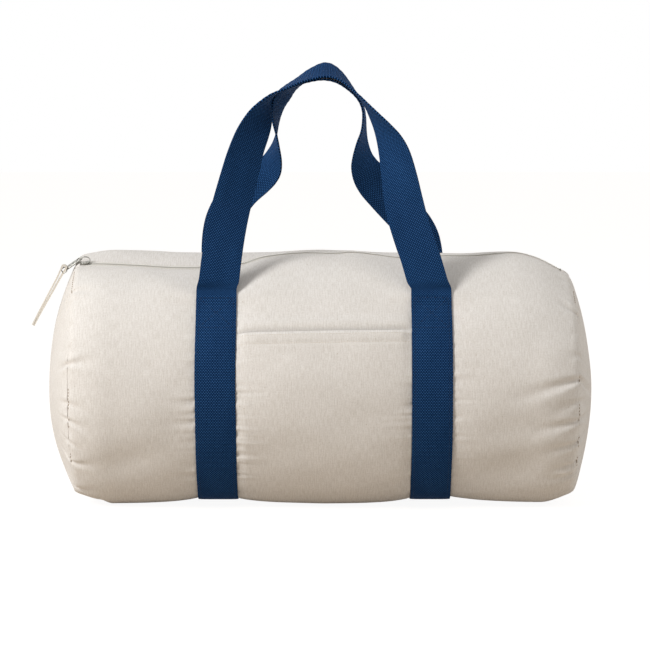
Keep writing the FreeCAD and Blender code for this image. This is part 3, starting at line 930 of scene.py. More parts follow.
@dataclass(frozen=True)
class TapeFinish:
    """Fine woven tape with ribs along it."""

    name: str
    slot: str
    colour: Colour
    dark_colour: Colour
    rib_pitch: float
    relief: float = 0.2 * MM
    lean: float = 0.6
    fibre_rate: Triple = (700, 500, 1)

    def material(self) -> bpy.types.Material:
        """Builds the node material.

        Returns:
            The material.
        """
        graph = material_graph(self.name)
        cloth = graph.cloth()
        lean = graph.split(cloth, 0) + graph.split(cloth, 1) * self.lean
        rib = (lean * (2 * math.pi / self.rib_pitch)).maths("SINE") * 0.5 + 0.5
        fibre = graph.noise(cloth, self.fibre_rate, 3.0)
        tone = rib * 0.45 + fibre.step(0.3, 0.7) * 0.55
        colour = graph.mix(tone, opaque(self.dark_colour), opaque(self.colour))
        graph.finish({"Base Color": colour, "Roughness": 0.88}, rib * 0.6 + fibre * 0.4, self.relief)
        return graph.owner


@dataclass(frozen=True)
class CoilFinish:
    """Moulded filament of the zip's coils."""

    name: str = "zip_filament"
    slot: str = "zip_coil"
    colour: Colour = (0.87, 0.85, 0.81)
    dark_colour: Colour = (0.77, 0.75, 0.70)
    cloud_rate: Triple = (160, 160, 160)

    def material(self) -> bpy.types.Material:
        """Builds the node material.

        Returns:
            The material.
        """
        graph = material_graph(self.name)
        cloud = graph.noise(graph.place(), self.cloud_rate, 2.0)
        colour = graph.mix(cloud, opaque(self.dark_colour), opaque(self.colour))
        graph.finish({"Base Color": colour, "Roughness": cloud * 0.2 + 0.35})
        return graph.owner


@dataclass(frozen=True)
class NickelFinish:
    """Tumbled nickel plate with fine scratches and darker worn patches."""

    name: str = "nickel_plate"
    slot: str = "metal"
    colour: Colour = (0.52, 0.51, 0.47)
    dark_colour: Colour = (0.22, 0.215, 0.195)
    wear_rate: Triple = (420, 420, 420)
    scratch_rate: Triple = (3000, 380, 3000)
    relief: float = 0.03 * MM

    def material(self) -> bpy.types.Material:
        """Builds the node material.

        Returns:
            The material.
        """
        graph = material_graph(self.name)
        where = graph.place()
        wear = graph.noise(where, self.wear_rate, 3.0)
        scratch = graph.noise(where, self.scratch_rate, 2.0)
        colour = graph.mix(wear.step(0.38, 0.62), opaque(self.dark_colour), opaque(self.colour))
        roughness = wear * 0.20 + scratch * 0.12 + 0.22
        graph.finish({"Base Color": colour, "Metallic": 1.0, "Roughness": roughness}, scratch, self.relief)
        return graph.owner


Finish = Union[CanvasFinish, WebbingFinish, ThreadFinish, TapeFinish, CoilFinish, NickelFinish]


class Wardrobe:
    """All finishes of the bag, each with its material made once."""

    def __init__(self) -> None:
        """Names the finishes."""
        self.canvas = CanvasFinish()
        self.webbing = WebbingFinish()
        self.navy_thread = ThreadFinish(
            "navy_thread", "navy_thread", (0.020, 0.050, 0.125), (0.008, 0.020, 0.055)
        )
        self.natural_thread = ThreadFinish(
            "natural_thread", "natural_thread", (0.82, 0.77, 0.69), (0.66, 0.59, 0.50)
        )
        # Dark brown seam thread, partly painted shade: it is laid where the seams' crease notches fall into
        # shade.
        self.tan_shade_thread = ThreadFinish("tan_shade_thread", "natural_thread", (0.40, 0.30, 0.20), (0.27, 0.19, 0.12))
        self.zip_tape = TapeFinish(
            "woven_zip_tape", "zip_tape", (0.85, 0.83, 0.78), (0.75, 0.72, 0.66), rib_pitch=0.6 * MM
        )
        self.binding = TapeFinish(
            "twill_binding", "binding", (0.76, 0.71, 0.62), (0.62, 0.56, 0.47), rib_pitch=1.1 * MM
        )
        self.pull_cotton = TapeFinish(
            "pull_cotton", "pull_cotton", (0.80, 0.76, 0.69), (0.73, 0.68, 0.60), rib_pitch=0.8 * MM
        )
        self.coil = CoilFinish()
        self.nickel = NickelFinish()
        self.made: dict[str, bpy.types.Material] = {}

    def dress(self, piece: Piece, finish: Finish, *nodes: str) -> None:
        """Gives a piece its material and hides the nodes that it stands for.

        Args:
            piece: the new object.
            finish: its finish.
            nodes: the nodes that it replaces.
        """
        if finish.name not in self.made:
            self.made[finish.name] = finish.material()
        piece.data.materials.append(self.made[finish.name])
        if nodes:
            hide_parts(*nodes)
        LOG.info("%s: %d faces, finish %s", piece.name, len(piece.data.polygons), finish.name)


def to_object(bm: Mesh, name: str) -> Piece:
    """Makes an object of a bmesh.

    Args:
        bm: the mesh, which is freed.
        name: the object's name.

    Returns:
        The object, linked to the scene.
    """
    mesh = bpy.data.meshes.new(name)
    bm.to_mesh(mesh)
    bm.free()
    piece = bpy.data.objects.new(name, mesh)
    bpy.context.scene.collection.objects.link(piece)
    return piece


def cloth_grid(
    name: str,
    across: Sequence[float],
    along: Sequence[float],
    place: Place,
    closed: bool = False,
    crisp: bool = True,
    flat: Optional[Callable[[Vector], Pair]] = None,
) -> Piece:
    """Grid whose points are moved to a form, with cloth coordinates in metres.

    Args:
        name: the object's name.
        across: the first cloth coordinate of each column.
        along: the second cloth coordinate of each row.
        place: gives each point's place from its column and row.
        closed: whether edges that meet are merged.
        crisp: whether the free edges are sharp.
        flat: gives the cloth coordinates from a point's place instead, if they need it.

    Returns:
        The object.
    """
    bm = bmesh.new()
    layer = bm.loops.layers.uv.new("cloth")
    columns = len(across) - 1
    rows = len(along) - 1
    bmesh.ops.create_grid(bm, x_segments=columns, y_segments=rows, size=0.5)
    marks = {}
    for vert in bm.verts:
        marks[vert] = (round((vert.co.x + 0.5) * columns), round((vert.co.y + 0.5) * rows))
        vert.co = place(*marks[vert])
    for face in bm.faces:
        face.smooth = True
        for loop in face.loops:
            column, row = marks[loop.vert]
            loop[layer].uv = flat(loop.vert.co) if flat else (across[column], along[row])
    if closed:
        bmesh.ops.remove_doubles(bm, verts=bm.verts[:], dist=MERGE_GAP)
    for edge in bm.edges:
        edge.smooth = not (crisp and edge.is_boundary)
    return to_object(bm, name)


def thicken(piece: Piece, thickness: float, offset: float = -1.0) -> None:
    """Gives a sheet its thickness.

    Args:
        piece: the sheet.
        thickness: how thick it is.
        offset: -1 for inwards from its face, 0 for both ways.
    """
    modifier = piece.modifiers.new("thickness", "SOLIDIFY")
    modifier.thickness = thickness
    modifier.offset = offset


def soften(piece: Piece, width: float) -> None:
    """Rounds the sharp rims of a piece.

    Args:
        piece: the piece.
        width: how wide the rounding is.
    """
    modifier = piece.modifiers.new("rims", "BEVEL")
    modifier.width = width
    modifier.segments = 2
    modifier.limit_method = "ANGLE"


def round_rims(bm: Mesh, edges: list[bmesh.types.BMEdge], offset: float) -> None:
    """Rounds edges of a mesh in two steps."""
    bmesh.ops.bevel(bm, geom=edges, offset=offset, segments=2, profile=0.5, affect="EDGES", material=-1)


def face_up(piece: Piece) -> None:
    """Turns a sheet over if its outer face looks down.

    Args:
        piece: the sheet.
    """
    bm = bmesh.new()
    bm.from_mesh(piece.data)
    if sum(face.normal.z for face in bm.faces) < 0:
        bmesh.ops.reverse_faces(bm, faces=bm.faces[:])
    bm.to_mesh(piece.data)
    bm.free()


def sew(
    bm: Mesh, line: Line, outward: Line, length: float, pitch: float, width: float
) -> None:
    """Lays a row of stitches along a line.

    Args:
        bm: the mesh that takes them.
        line: gives a point from a share of the line.
        outward: gives the outward direction from a share of the line.
        length: the line's length.
        pitch: distance from stitch to stitch.
        width: the thread's width.
    """
    count = max(round(length / pitch), 1)
    first = line(0.0)
    for index in range(count):
        last = line((index + 1) / count)
        up = outward((index + 0.5) / count)
        along = last - first
        side = up.cross(along).normalized()
        shape = Matrix((along * STITCH_FILL, side * width, up * width * STITCH_HEIGHT))
        turned = shape.transposed().to_4x4()
        made = bmesh.ops.create_icosphere(bm, subdivisions=1, radius=0.5)
        bmesh.ops.transform(bm, matrix=Matrix.Translation((first + last) / 2) @ turned, verts=made["verts"])
        first = last


def smooth_object(bm: Mesh, name: str) -> Piece:
    """Makes one smooth object of the small pieces in a bmesh.

    Args:
        bm: the mesh, which is freed.
        name: the object's name.

    Returns:
        The object.
    """
    for face in bm.faces:
        face.smooth = True
    return to_object(bm, name)


@dataclass
class Assembly:
    """Group of pieces that share the bag's form and finishes."""

    form: BarrelForm
    wardrobe: Wardrobe

    def fix(self, piece: Piece, finish: Finish, *nodes: str) -> None:
        """Dresses a piece that stays with the bag itself."""
        self.wardrobe.dress(piece, finish, *nodes)
        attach(piece, Body.BAG.value)


@dataclass
class CanvasBody(Assembly):
    """Canvas that wraps the barrel below the mouth, in three lengths that meet under the straps."""

    thickness: float = 1.0 * MM
    rows: int = 540
    coarse: float = 3.0 * MM
    fine: float = 1.4 * MM
    overlap: float = 3 * MM
    lap: float = 6 * MM
    strap_fine: float = 9 * MM
    seam_fine: float = 24 * MM

    def near(self, x: float) -> float:
        """How much a place needs fine steps.

        Args:
            x: place along the bag.

        Returns:
            A number from 0 to 1.
        """
        gap = self.form.strap_gap(x) / self.strap_fine
        seam = (self.form.gauge.seam - abs(x)) / self.seam_fine
        return max(math.exp(-(gap**2)), math.exp(-(seam**2)))

    def end_columns(self) -> list[float]:
        """Places from the right strap's middle to the right seam."""
        return stations(self.form.gauge.strap_x[1], self.form.gauge.seam, self.coarse, self.fine, self.near)

    def middle_columns(self) -> list[float]:
        """Places from the left strap's middle to the right strap's, with one at the bag's middle."""
        right = stations(0.0, self.form.gauge.strap_x[1], self.coarse, self.fine, self.near)
        return [-x for x in reversed(right[1:])] + right

    def columns(self) -> list[float]:
        """All places along the bag from seam to seam."""
        right = self.end_columns()
        return [-x for x in reversed(right[1:])] + self.middle_columns() + right[1:]

    def build(self) -> None:
        """Lays the three lengths."""
        right = self.end_columns()
        middle = self.middle_columns()
        self.wrap("left", [-x for x in reversed(right)])
        self.wrap("middle", [middle[0] - self.overlap, *middle, middle[-1] + self.overlap])
        self.wrap("right", right)

    def wrap(self, name: str, columns: list[float]) -> None:
        """Lays one length from the back edge of the mouth under the base to its front edge.

        Args:
            name: which length.
            columns: its places along the bag.
        """
        gauge = self.form.gauge
        deep = self.form.arc(360 - 2 * gauge.hinge_turn)
        reach = gauge.strap_x[1]

        def place(column: int, row: int) -> Vector:
            """Place of a grid point."""
            x = columns[column]
            under = 1 - smooth(0.0, self.lap, reach - abs(x)) if name == "middle" else 0.0
            return self.form.point(x, turn_under(gauge.hinge_turn, row / self.rows), -HIDDEN_STEP * under)

        piece = cloth_grid(f"canvas_body_{name}", columns, even(deep, self.rows), place)
        thicken(piece, self.thickness)
        self.wardrobe.dress(piece, self.wardrobe.canvas, "body_panel")
        columns[-1] - columns[0]
        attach(piece, Body.BAG.value)


@dataclass
class MouthPanels(Assembly):
    """Canvas on both sides of the zip, in left and right halves."""

    columns: list[float]
    thickness: float = 1.0 * MM
    tuck_arc: float = 9 * MM
    tuck_depth: float = 1.5 * MM
    tuck_rows: int = 6
    rows: int = 34
    overlap: float = 3 * MM
    edge_gap: float = 2.2 * MM
    park_gap: float = 5.0 * MM
    fold_arc: float = 1.4 * MM
    fold_depth: float = 0.5 * MM
    bend_start: float = 0.212
    bend_end: float = 0.09
    lap: float = 6 * MM
    tuck_slope: Pair = (0.15, 0.9)
    row_power: float = 0.8
    row_length: float = 1.6 * MM
    park: Pair = (0.214, 0.224)

    def lip(self, side: Side) -> Body:
        """Body of the lip on one side of the zip."""
        return Body.FRONT_LIP if side is Side.FRONT else Body.BACK_LIP

    def bend(self, piece: Piece, side: Side, end: End) -> None:
        """Bakes a half's place into its mesh.

        Args:
            piece: the half.
            side: front or back of the zip.
            end: left or right half.
        """
        start = (end.value * self.bend_start, 0, 0)
        stop = (end.value * self.bend_end, 0, 0)
        self.lip(side).value
        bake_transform(piece)

    def half(self, end: End) -> list[float]:
        """Places along one half of the bag, from left to right; the right half reaches under the left."""
        found = [x for x in self.columns if x * end.value >= 0]
        return found if end is End.LEFT else [-self.overlap, *found]

    def gap_at(self, x: float) -> float:
        """Half the width of the slot between the folded edges."""
        return self.edge_gap + (self.park_gap - self.edge_gap) * smooth(*self.park, abs(x))

    def edge_turn(self, x: float, side: Side, arc: float) -> float:
        """Turn of a line that runs beside the zip at a distance of arc from its folded edge."""
        return self.form.zip_turn(x) + side.value * self.form.arc_turn(self.gap_at(x) + arc)

    def build(self) -> None:
        """Lays the four halves."""
        for side in Side:
            for end in End:
                self.panel(side, end)

    def panel(self, side: Side, end: End) -> None:
        """Lays one half from under the body's edge up to the fold beside the zip.

        Args:
            side: front or back of the zip.
            end: left or right half.
        """
        xs = self.half(end)
        order = xs if side is Side.FRONT else xs[::-1]
        hinge = side.value * self.form.gauge.hinge_turn
        tuck = hinge + side.value * self.form.arc_turn(self.tuck_arc)

        def place(column: int, row: int) -> Vector:
            """Place of a grid point."""
            x = order[column]
            base = -HIDDEN_STEP * (1 - smooth(0.0, self.lap, x)) if end is End.RIGHT else 0.0
            if row <= self.tuck_rows:
                share = row / self.tuck_rows
                step = HIDDEN_STEP if row < self.tuck_rows else 0.0
                lift = -self.tuck_depth * smooth(*self.tuck_slope, 1 - share) - step
                return self.form.point(x, tuck + (hinge - tuck) * share, base + lift)
            share = ((row - self.tuck_rows) / self.rows) ** self.row_power
            edge = self.edge_turn(x, side, 0.0)
            turn = hinge + (edge - hinge) * share
            fold = max(1 - abs(self.form.arc(edge - turn)) / self.fold_arc, 0.0)
            return self.form.point(x, turn, base - self.fold_depth * fold**2)

        name = f"canvas_mouth_{side.label}_{end.label}"
        rows = self.tuck_rows + self.rows
        piece = cloth_grid(name, order, even(rows * self.row_length, rows), place)
        thicken(piece, self.thickness)
        self.wardrobe.dress(piece, self.wardrobe.canvas, f"{side.label}_mouth_lip")
        deep = self.form.arc(abs(self.edge_turn(xs[len(xs) // 2], side, 0.0) - tuck))
        xs[-1] - xs[0]
        self.bend(piece, side, end)


@dataclass
class EndPanels(Assembly):
    """Round domed panels at both ends, with the bindings inside their seams."""

    thickness: float = 1.0 * MM
    around: int = 432
    rings: int = 40
    even_reach: int = 14
    middle_height: float = 104 * MM
    tip_clear: float = 0.5 * MM
    ring_power: float = 0.85
    even_start: float = 0.7
    crease_share: float = 0.7
    crease_start: float = 0.12
    dome_slack: float = 1.4 * MM
    slack_rate: float = 14
    rim_sink: float = 0.4 * MM
    rim_reach: float = 3 * MM
    binding_width: float = 8 * MM
    binding_thickness: float = 1.2 * MM
    binding_depth: float = 2.6 * MM
    binding_inset: float = 1.5 * MM
    binding_roll: float = 0.5 * MM
    binding_columns: int = 6
    binding_row: float = 1.7 * MM
    seam_pitch: float = 3.2 * MM
    seam_thread_width: float = 0.85 * MM
    thread_inset: float = 0.6 * MM
    thread_lift: float = 0.2 * MM
    # Runs of the seam thread; several sit on the crease notches, where the dark thread is painted shade.
    left_runs: Sequence[Pair] = (
        (22, 16), (86, 10), (100, 5), (118, 6), (-40, 9), (-72, 12), (-104, 8), (-140, 10),
    )
    right_runs: Sequence[Pair] = (
        (26, 12), (80, 5), (93, 9), (109, 6), (120, 6), (-34, 8), (-60, 10), (-98, 12), (-131, 9),
    )

    def build(self) -> None:
        """Makes both ends."""
        for end in End:
            self.panel(end)
            self.binding(end)
            self.seam_thread(end)

    def even_out(self, rims: list[Vector], index: int) -> Vector:
        """Mean of a seam's places on both sides of one of them."""
        near = range(index - self.even_reach, index + self.even_reach + 1)
        return sum((rims[i % len(rims)] for i in near), Vector()) / len(near)

    def panel(self, end: End) -> None:
        """Domes one panel out from its seam.

        Args:
            end: left or right.
        """
        gauge = self.form.gauge
        seam = end.value * gauge.seam
        rise = gauge.tips[end] - gauge.seam - self.tip_clear
        rim = gauge.radius - self.form.rim_drop
        sphere = (rim**2 + rise**2) / (2 * rise)
        middle = Vector((0, 0, self.middle_height))
        turns = [self.turn_at(end, index) for index in range(self.around)]
        rims = [self.form.point(seam, turn) * Vector((0, 1, 1)) for turn in turns]
        evened = [self.even_out(rims, i) for i in range(self.around)]

        def place(column: int, row: int) -> Vector:
            """Place of a grid point."""
            index = column % self.around
            share = (row / self.rings) ** self.ring_power
            edge = evened[index].lerp(rims[index], smooth(self.even_start, 1.0, share))
            spot = middle + (edge - middle) * share
            gap = (1 - share) * rim
            out = math.sqrt(sphere**2 - (share * rim) ** 2) - sphere + rise
            crease = self.form.pucker(end, turns[index], gap) * self.crease_share
            out -= crease * smooth(0.0, self.crease_start, share)
            out += self.dome_slack * noise.noise(spot * self.slack_rate + Vector((end.value * 3.0, 0, 0)))
            out -= self.rim_sink * math.exp(-gap / self.rim_reach)
            return Vector((seam + end.value * out, spot.y, spot.z))

        piece = cloth_grid(
            f"canvas_end_{end.label}",
            range(self.around + 1),
            range(self.rings + 1),
            place,
            closed=True,
            flat=lambda spot: (spot.y * end.value, spot.z),
        )
        thicken(piece, self.thickness)
        self.wardrobe.dress(piece, self.wardrobe.canvas, f"{end.label}_end_panel")
        across = 2 * sphere * math.asin(rim / sphere)
        math.pi * across**2 / 4
        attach(piece, Body.BAG.value)

    def turn_at(self, end: End, index: int) -> float:
        """Turn of a place round a seam, counted from below so that faces look outwards."""
        return end.value * (180 - 360 * index / self.around)
    def binding(self, end: End) -> None:
        """Tape over the raw edges of one seam, inside the bag.

        Args:
            end: left or right.
        """
        columns = self.binding_columns
        depth = self.thickness + self.binding_depth

        def place(column: int, row: int) -> Vector:
            """Place of a grid point."""
            inset = self.binding_width * column / columns + self.binding_inset
            rolled = self.binding_roll * math.sin(math.pi * column / columns)
            turn = self.turn_at(end, row % self.around)
            return self.form.point(end.value * (self.form.gauge.seam - inset), turn, rolled - depth)

        along = even(self.around * self.binding_row, self.around)
        across = even(self.binding_width, columns)
        piece = cloth_grid(f"seam_binding_{end.label}", across, along, place, closed=True)
        thicken(piece, self.binding_thickness)
        self.fix(piece, self.wardrobe.binding, f"{end.label}_seam_binding")

    def seam_thread(self, end: End) -> None:
        """Dark thread that shows here and there in one seam's groove, and stands in as painted shade in the
        creases' notches.

        Args:
            end: left or right.
        """
        bm = bmesh.new()
        x = end.value * (self.form.gauge.seam - self.thread_inset)
        for start, run in self.left_runs if end is End.LEFT else self.right_runs:
            sew(
                bm,
                lambda share: self.form.point(x, start + run * share, self.thread_lift),
                lambda share: self.form.normal(x, start + run * share),
                self.form.arc(run),
                self.seam_pitch,
                self.seam_thread_width,
            )
        piece = smooth_object(bm, f"seam_thread_{end.label}")
        self.fix(piece, self.wardrobe.tan_shade_thread)


@dataclass
class FrontPocket(Assembly):
    """Slip pocket between the straps, folded over at its hem."""

    foot_turn: float = 149
    foot_reach: float = 14
    fold_arc: float = 12 * MM
    fold_crest: float = 0.6 * MM
    fold_start: float = 0.2
    fold_end: float = 0.3
    outer_lift: float = 1.9 * MM
    edge_lift: float = 0.8 * MM
    least_lift: float = 0.05 * MM
    edge_reach: float = 10 * MM
    mouth_gape: float = 2.0 * MM
    gape_reach: float = 6
    looseness: float = 0.9 * MM
    loose_rates: Pair = (17, 0.05)
    fold_depth: float = 1.3 * MM
    stitch_rows: Sequence[float] = (2.6 * MM, 10.5 * MM)
    stitch_sink: float = 0.45 * MM
    sink_spread: float = 1.7 * MM
    stitch_inset: float = 1.5 * MM
    stitch_pitch: float = 2.6 * MM
    thread_width: float = 0.5 * MM
    thickness: float = 0.6 * MM
    columns: int = 110
    rows: int = 170
    row_power: float = 0.9
    row_length: float = 1.15 * MM
    fold_rows: int = 10

    def surface(self, x: float, turn: float, depth: float = 0.0) -> Vector:
        """Place on the pocket's outer face, or below it.

        Args:
            x: place along the bag.
            turn: place round it.
            depth: distance below the outer face.

        Returns:
            The point.
        """
        hem_turn = self.form.hem_at(x)
        edge = smooth(0.0, self.edge_reach, self.form.pocket_half - abs(x))
        foot = smooth(0.0, self.foot_reach, self.foot_turn - turn)
        gape = self.mouth_gape * math.exp(-(((turn - hem_turn) / self.gape_reach) ** 2))
        loose = noise.noise(Vector((x * self.loose_rates[0] + 30, turn * self.loose_rates[1], 2.0)))
        lift = self.edge_lift + (self.outer_lift - self.edge_lift) * edge * foot
        lift += (self.looseness * loose + gape) * edge * foot
        below = self.form.arc(turn - hem_turn) - self.stitch_rows[1]
        lift -= self.stitch_sink * math.exp(-((below / self.sink_spread) ** 2)) * edge
        return self.form.point(x, turn, lift - min(depth, lift - self.least_lift))

    def build(self) -> None:
        """Makes the pocket and its stitches."""
        self.panel()
        self.stitches()

    def panel(self) -> None:
        """Lays the pocket's outer face, its fold and the turned-in hem."""
        half = self.form.pocket_half
        xs = [-half + 2 * half * index / self.columns for index in range(self.columns + 1)]
        fold = self.form.arc_turn(self.fold_arc)

        def place(column: int, row: int) -> Vector:
            """Place of a grid point."""
            x = xs[column]
            hem = self.form.hem_at(x)
            if row <= self.rows:
                up = (row / self.rows) ** self.row_power
                return self.surface(x, self.foot_turn + (hem - self.foot_turn) * up)
            share = (row - self.rows) / self.fold_rows
            crest = self.form.arc_turn(self.fold_crest) * math.sin(math.pi * min(share * 4, 1.0))
            turn = hem + fold * max(share - self.fold_start, 0.0) - crest
            return self.surface(x, turn, self.fold_depth * smooth(0.0, self.fold_end, share))

        rows = self.rows + self.fold_rows
        piece = cloth_grid("canvas_pocket", xs, even(rows * self.row_length, rows), place)
        thicken(piece, self.thickness)
        self.wardrobe.dress(piece, self.wardrobe.canvas, "front_pocket_panel")
        deep = self.form.arc(self.foot_turn - self.form.hem_turn) + self.fold_arc
        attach(piece, Body.BAG.value)

    def stitches(self) -> None:
        """Sews two rows across the hem."""
        bm = bmesh.new()
        reach = self.form.pocket_half - self.stitch_inset
        for drop in self.stitch_rows:
            below = self.form.arc_turn(drop)

            def spot(share: float) -> Pair:
                """Place and turn at a share of a row."""
                x = reach * (2 * share - 1)
                return x, self.form.hem_at(x) + below

            sew(
                bm,
                lambda share: self.surface(*spot(share)),
                lambda share: self.form.normal(*spot(share)),
                2 * reach,
                self.stitch_pitch,
                self.thread_width,
            )
        piece = smooth_object(bm, "pocket_hem_thread")
        self.fix(piece, self.wardrobe.natural_thread, "pocket_hem_stitches")


@dataclass
class GirthStraps(Assembly):
    """Two webbing straps sewn round the bag."""

    thickness: float = 1.8 * MM
    lift: float = 2.1 * MM
    top_turn: float = 44.6
    columns: int = 16
    rows: int = 400
    inset: float = 3 * MM
    box_height: float = 31 * MM
    box_drop: float = 2 * MM
    pitch: float = 3.6 * MM
    thread_width: float = 0.6 * MM
    long_row: float = 40
    row_gap: float = 1.5 * MM
    row_end: float = 150
    waver: float = 0.5 * MM
    waver_rates: Pair = (14, 30)
    scallop: float = 0.07 * MM
    scallop_pitch: float = 0.9 * MM
    droop: float = 0.30 * MM

    def surface(self, centre: float, across: float, turn: float) -> Vector:
        """Place on a strap's outer face.

        Args:
            centre: the strap's middle along the bag.
            across: distance from that middle.
            turn: place round the bag.

        Returns:
            The point.
        """
        arc = self.form.arc(turn)
        share = across / self.form.gauge.strap_half
        rates = self.waver_rates
        waver = self.waver * noise.noise(Vector((arc * rates[0], centre * rates[1], 0.0)))
        scallop = self.scallop * math.sin(arc / self.scallop_pitch) * share**9
        spot = self.form.point(centre, turn, self.lift - self.droop * share**6)
        return Vector((centre + across + waver + scallop, spot.y, spot.z))

    def normal(self, centre: float, turn: float) -> Vector:
        """Outward direction of a strap."""
        return self.form.normal(centre, turn)

    def build(self) -> None:
        """Makes both straps with their stitches."""
        for name, centre in zip(("left", "right"), self.form.gauge.strap_x):
            self.strap(name, centre)
        self.boxes()
        self.edges()

    def strap(self, name: str, centre: float) -> None:
        """Lays one strap from the back, under the base and up the front.

        Args:
            name: left or right.
            centre: its middle along the bag.
        """
        half = self.form.gauge.strap_half
        long = self.form.arc(360 - 2 * self.top_turn)
        across = webbing_columns(half, self.columns)

        def place(column: int, row: int) -> Vector:
            """Place of a grid point."""
            turn = turn_under(self.top_turn, row / self.rows)
            return self.surface(centre, across[column] - half, turn)

        along = even(long, self.rows)
        piece = cloth_grid(f"webbing_strap_{name}", across, along, place, crisp=False)
        thicken(piece, self.thickness)
        self.wardrobe.dress(piece, self.wardrobe.webbing, f"{name}_girth_strap")
        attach(piece, Body.BAG.value)

    def row(self, bm: Mesh, centre: float, start: Pair, end: Pair) -> None:
        """Sews a straight row on a strap.

        Args:
            bm: the mesh that takes the stitches.
            centre: the strap's middle.
            start: distance across the strap and turn where the row starts.
            end: the same where it ends.
        """
        length = (self.surface(centre, *end) - self.surface(centre, *start)).length
        if abs(end[1] - start[1]) > self.long_row:
            length = self.form.arc(abs(end[1] - start[1]))

        def spot(share: float) -> Pair:
            """Distance across and turn at a share of the row."""
            return start[0] + (end[0] - start[0]) * share, start[1] + (end[1] - start[1]) * share

        sew(
            bm,
            lambda share: self.surface(centre, *spot(share)),
            lambda share: self.normal(centre, spot(share)[1]),
            length,
            self.pitch,
            self.thread_width,
        )

    def boxes(self) -> None:
        """Sews a square with a cross where each strap leaves the canvas."""
        bm = bmesh.new()
        half = self.form.gauge.strap_half - self.inset
        for centre in self.form.gauge.strap_x:
            for side in Side:
                high = side.value * (self.top_turn + self.form.arc_turn(self.box_drop))
                low = high + side.value * self.form.arc_turn(self.box_height)
                corners = [(-half, high), (half, high), (half, low), (-half, low)]
                for index in range(4):
                    self.row(bm, centre, corners[index], corners[(index + 1) % 4])
                self.row(bm, centre, corners[0], corners[2])
                self.row(bm, centre, corners[1], corners[3])
        piece = smooth_object(bm, "strap_box_thread")
        self.fix(piece, self.wardrobe.navy_thread, "strap_box_stitches")

    def edges(self) -> None:
        """Sews the rows down both edges of each strap, below its box."""
        bm = bmesh.new()
        half = self.form.gauge.strap_half - self.inset
        start = self.top_turn + self.form.arc_turn(self.box_drop + self.box_height + self.row_gap)
        for centre in self.form.gauge.strap_x:
            for across in (-half, half):
                for side in Side:
                    turns = (side.value * start, side.value * self.row_end)
                    self.row(bm, centre, (across, turns[0]), (across, turns[1]))
        piece = smooth_object(bm, "strap_edge_thread")
        self.fix(piece, self.wardrobe.navy_thread, "strap_edge_stitches")


Route = Sequence[tuple[float, float, float, float]]


@dataclass
class Foot:
    """Top of a strap, where a handle leaves it."""

    straps: GirthStraps
    centre: float
    side: int
    probe: float = 4 * MM

    def lap(self, across: float, arc: float) -> Vector:
        """Place on the strap a length below its top, just outside it.

        Args:
            across: distance from the strap's middle.
            arc: length below its top.

        Returns:
            The point.
        """
        turn = self.side * (self.straps.top_turn + self.straps.form.arc_turn(arc))
        outward = self.straps.normal(self.centre, turn)
        return self.straps.surface(self.centre, across, turn) + outward * HIDDEN_STEP

    def rise(self, across: float, length: float) -> Vector:
        """Place straight on from the strap, a length beyond its top.

        Args:
            across: distance from the strap's middle.
            length: distance beyond its top.

        Returns:
            The point.
        """
        top = self.lap(across, 0.0)
        return top + (top - self.lap(across, self.probe)).normalized() * length


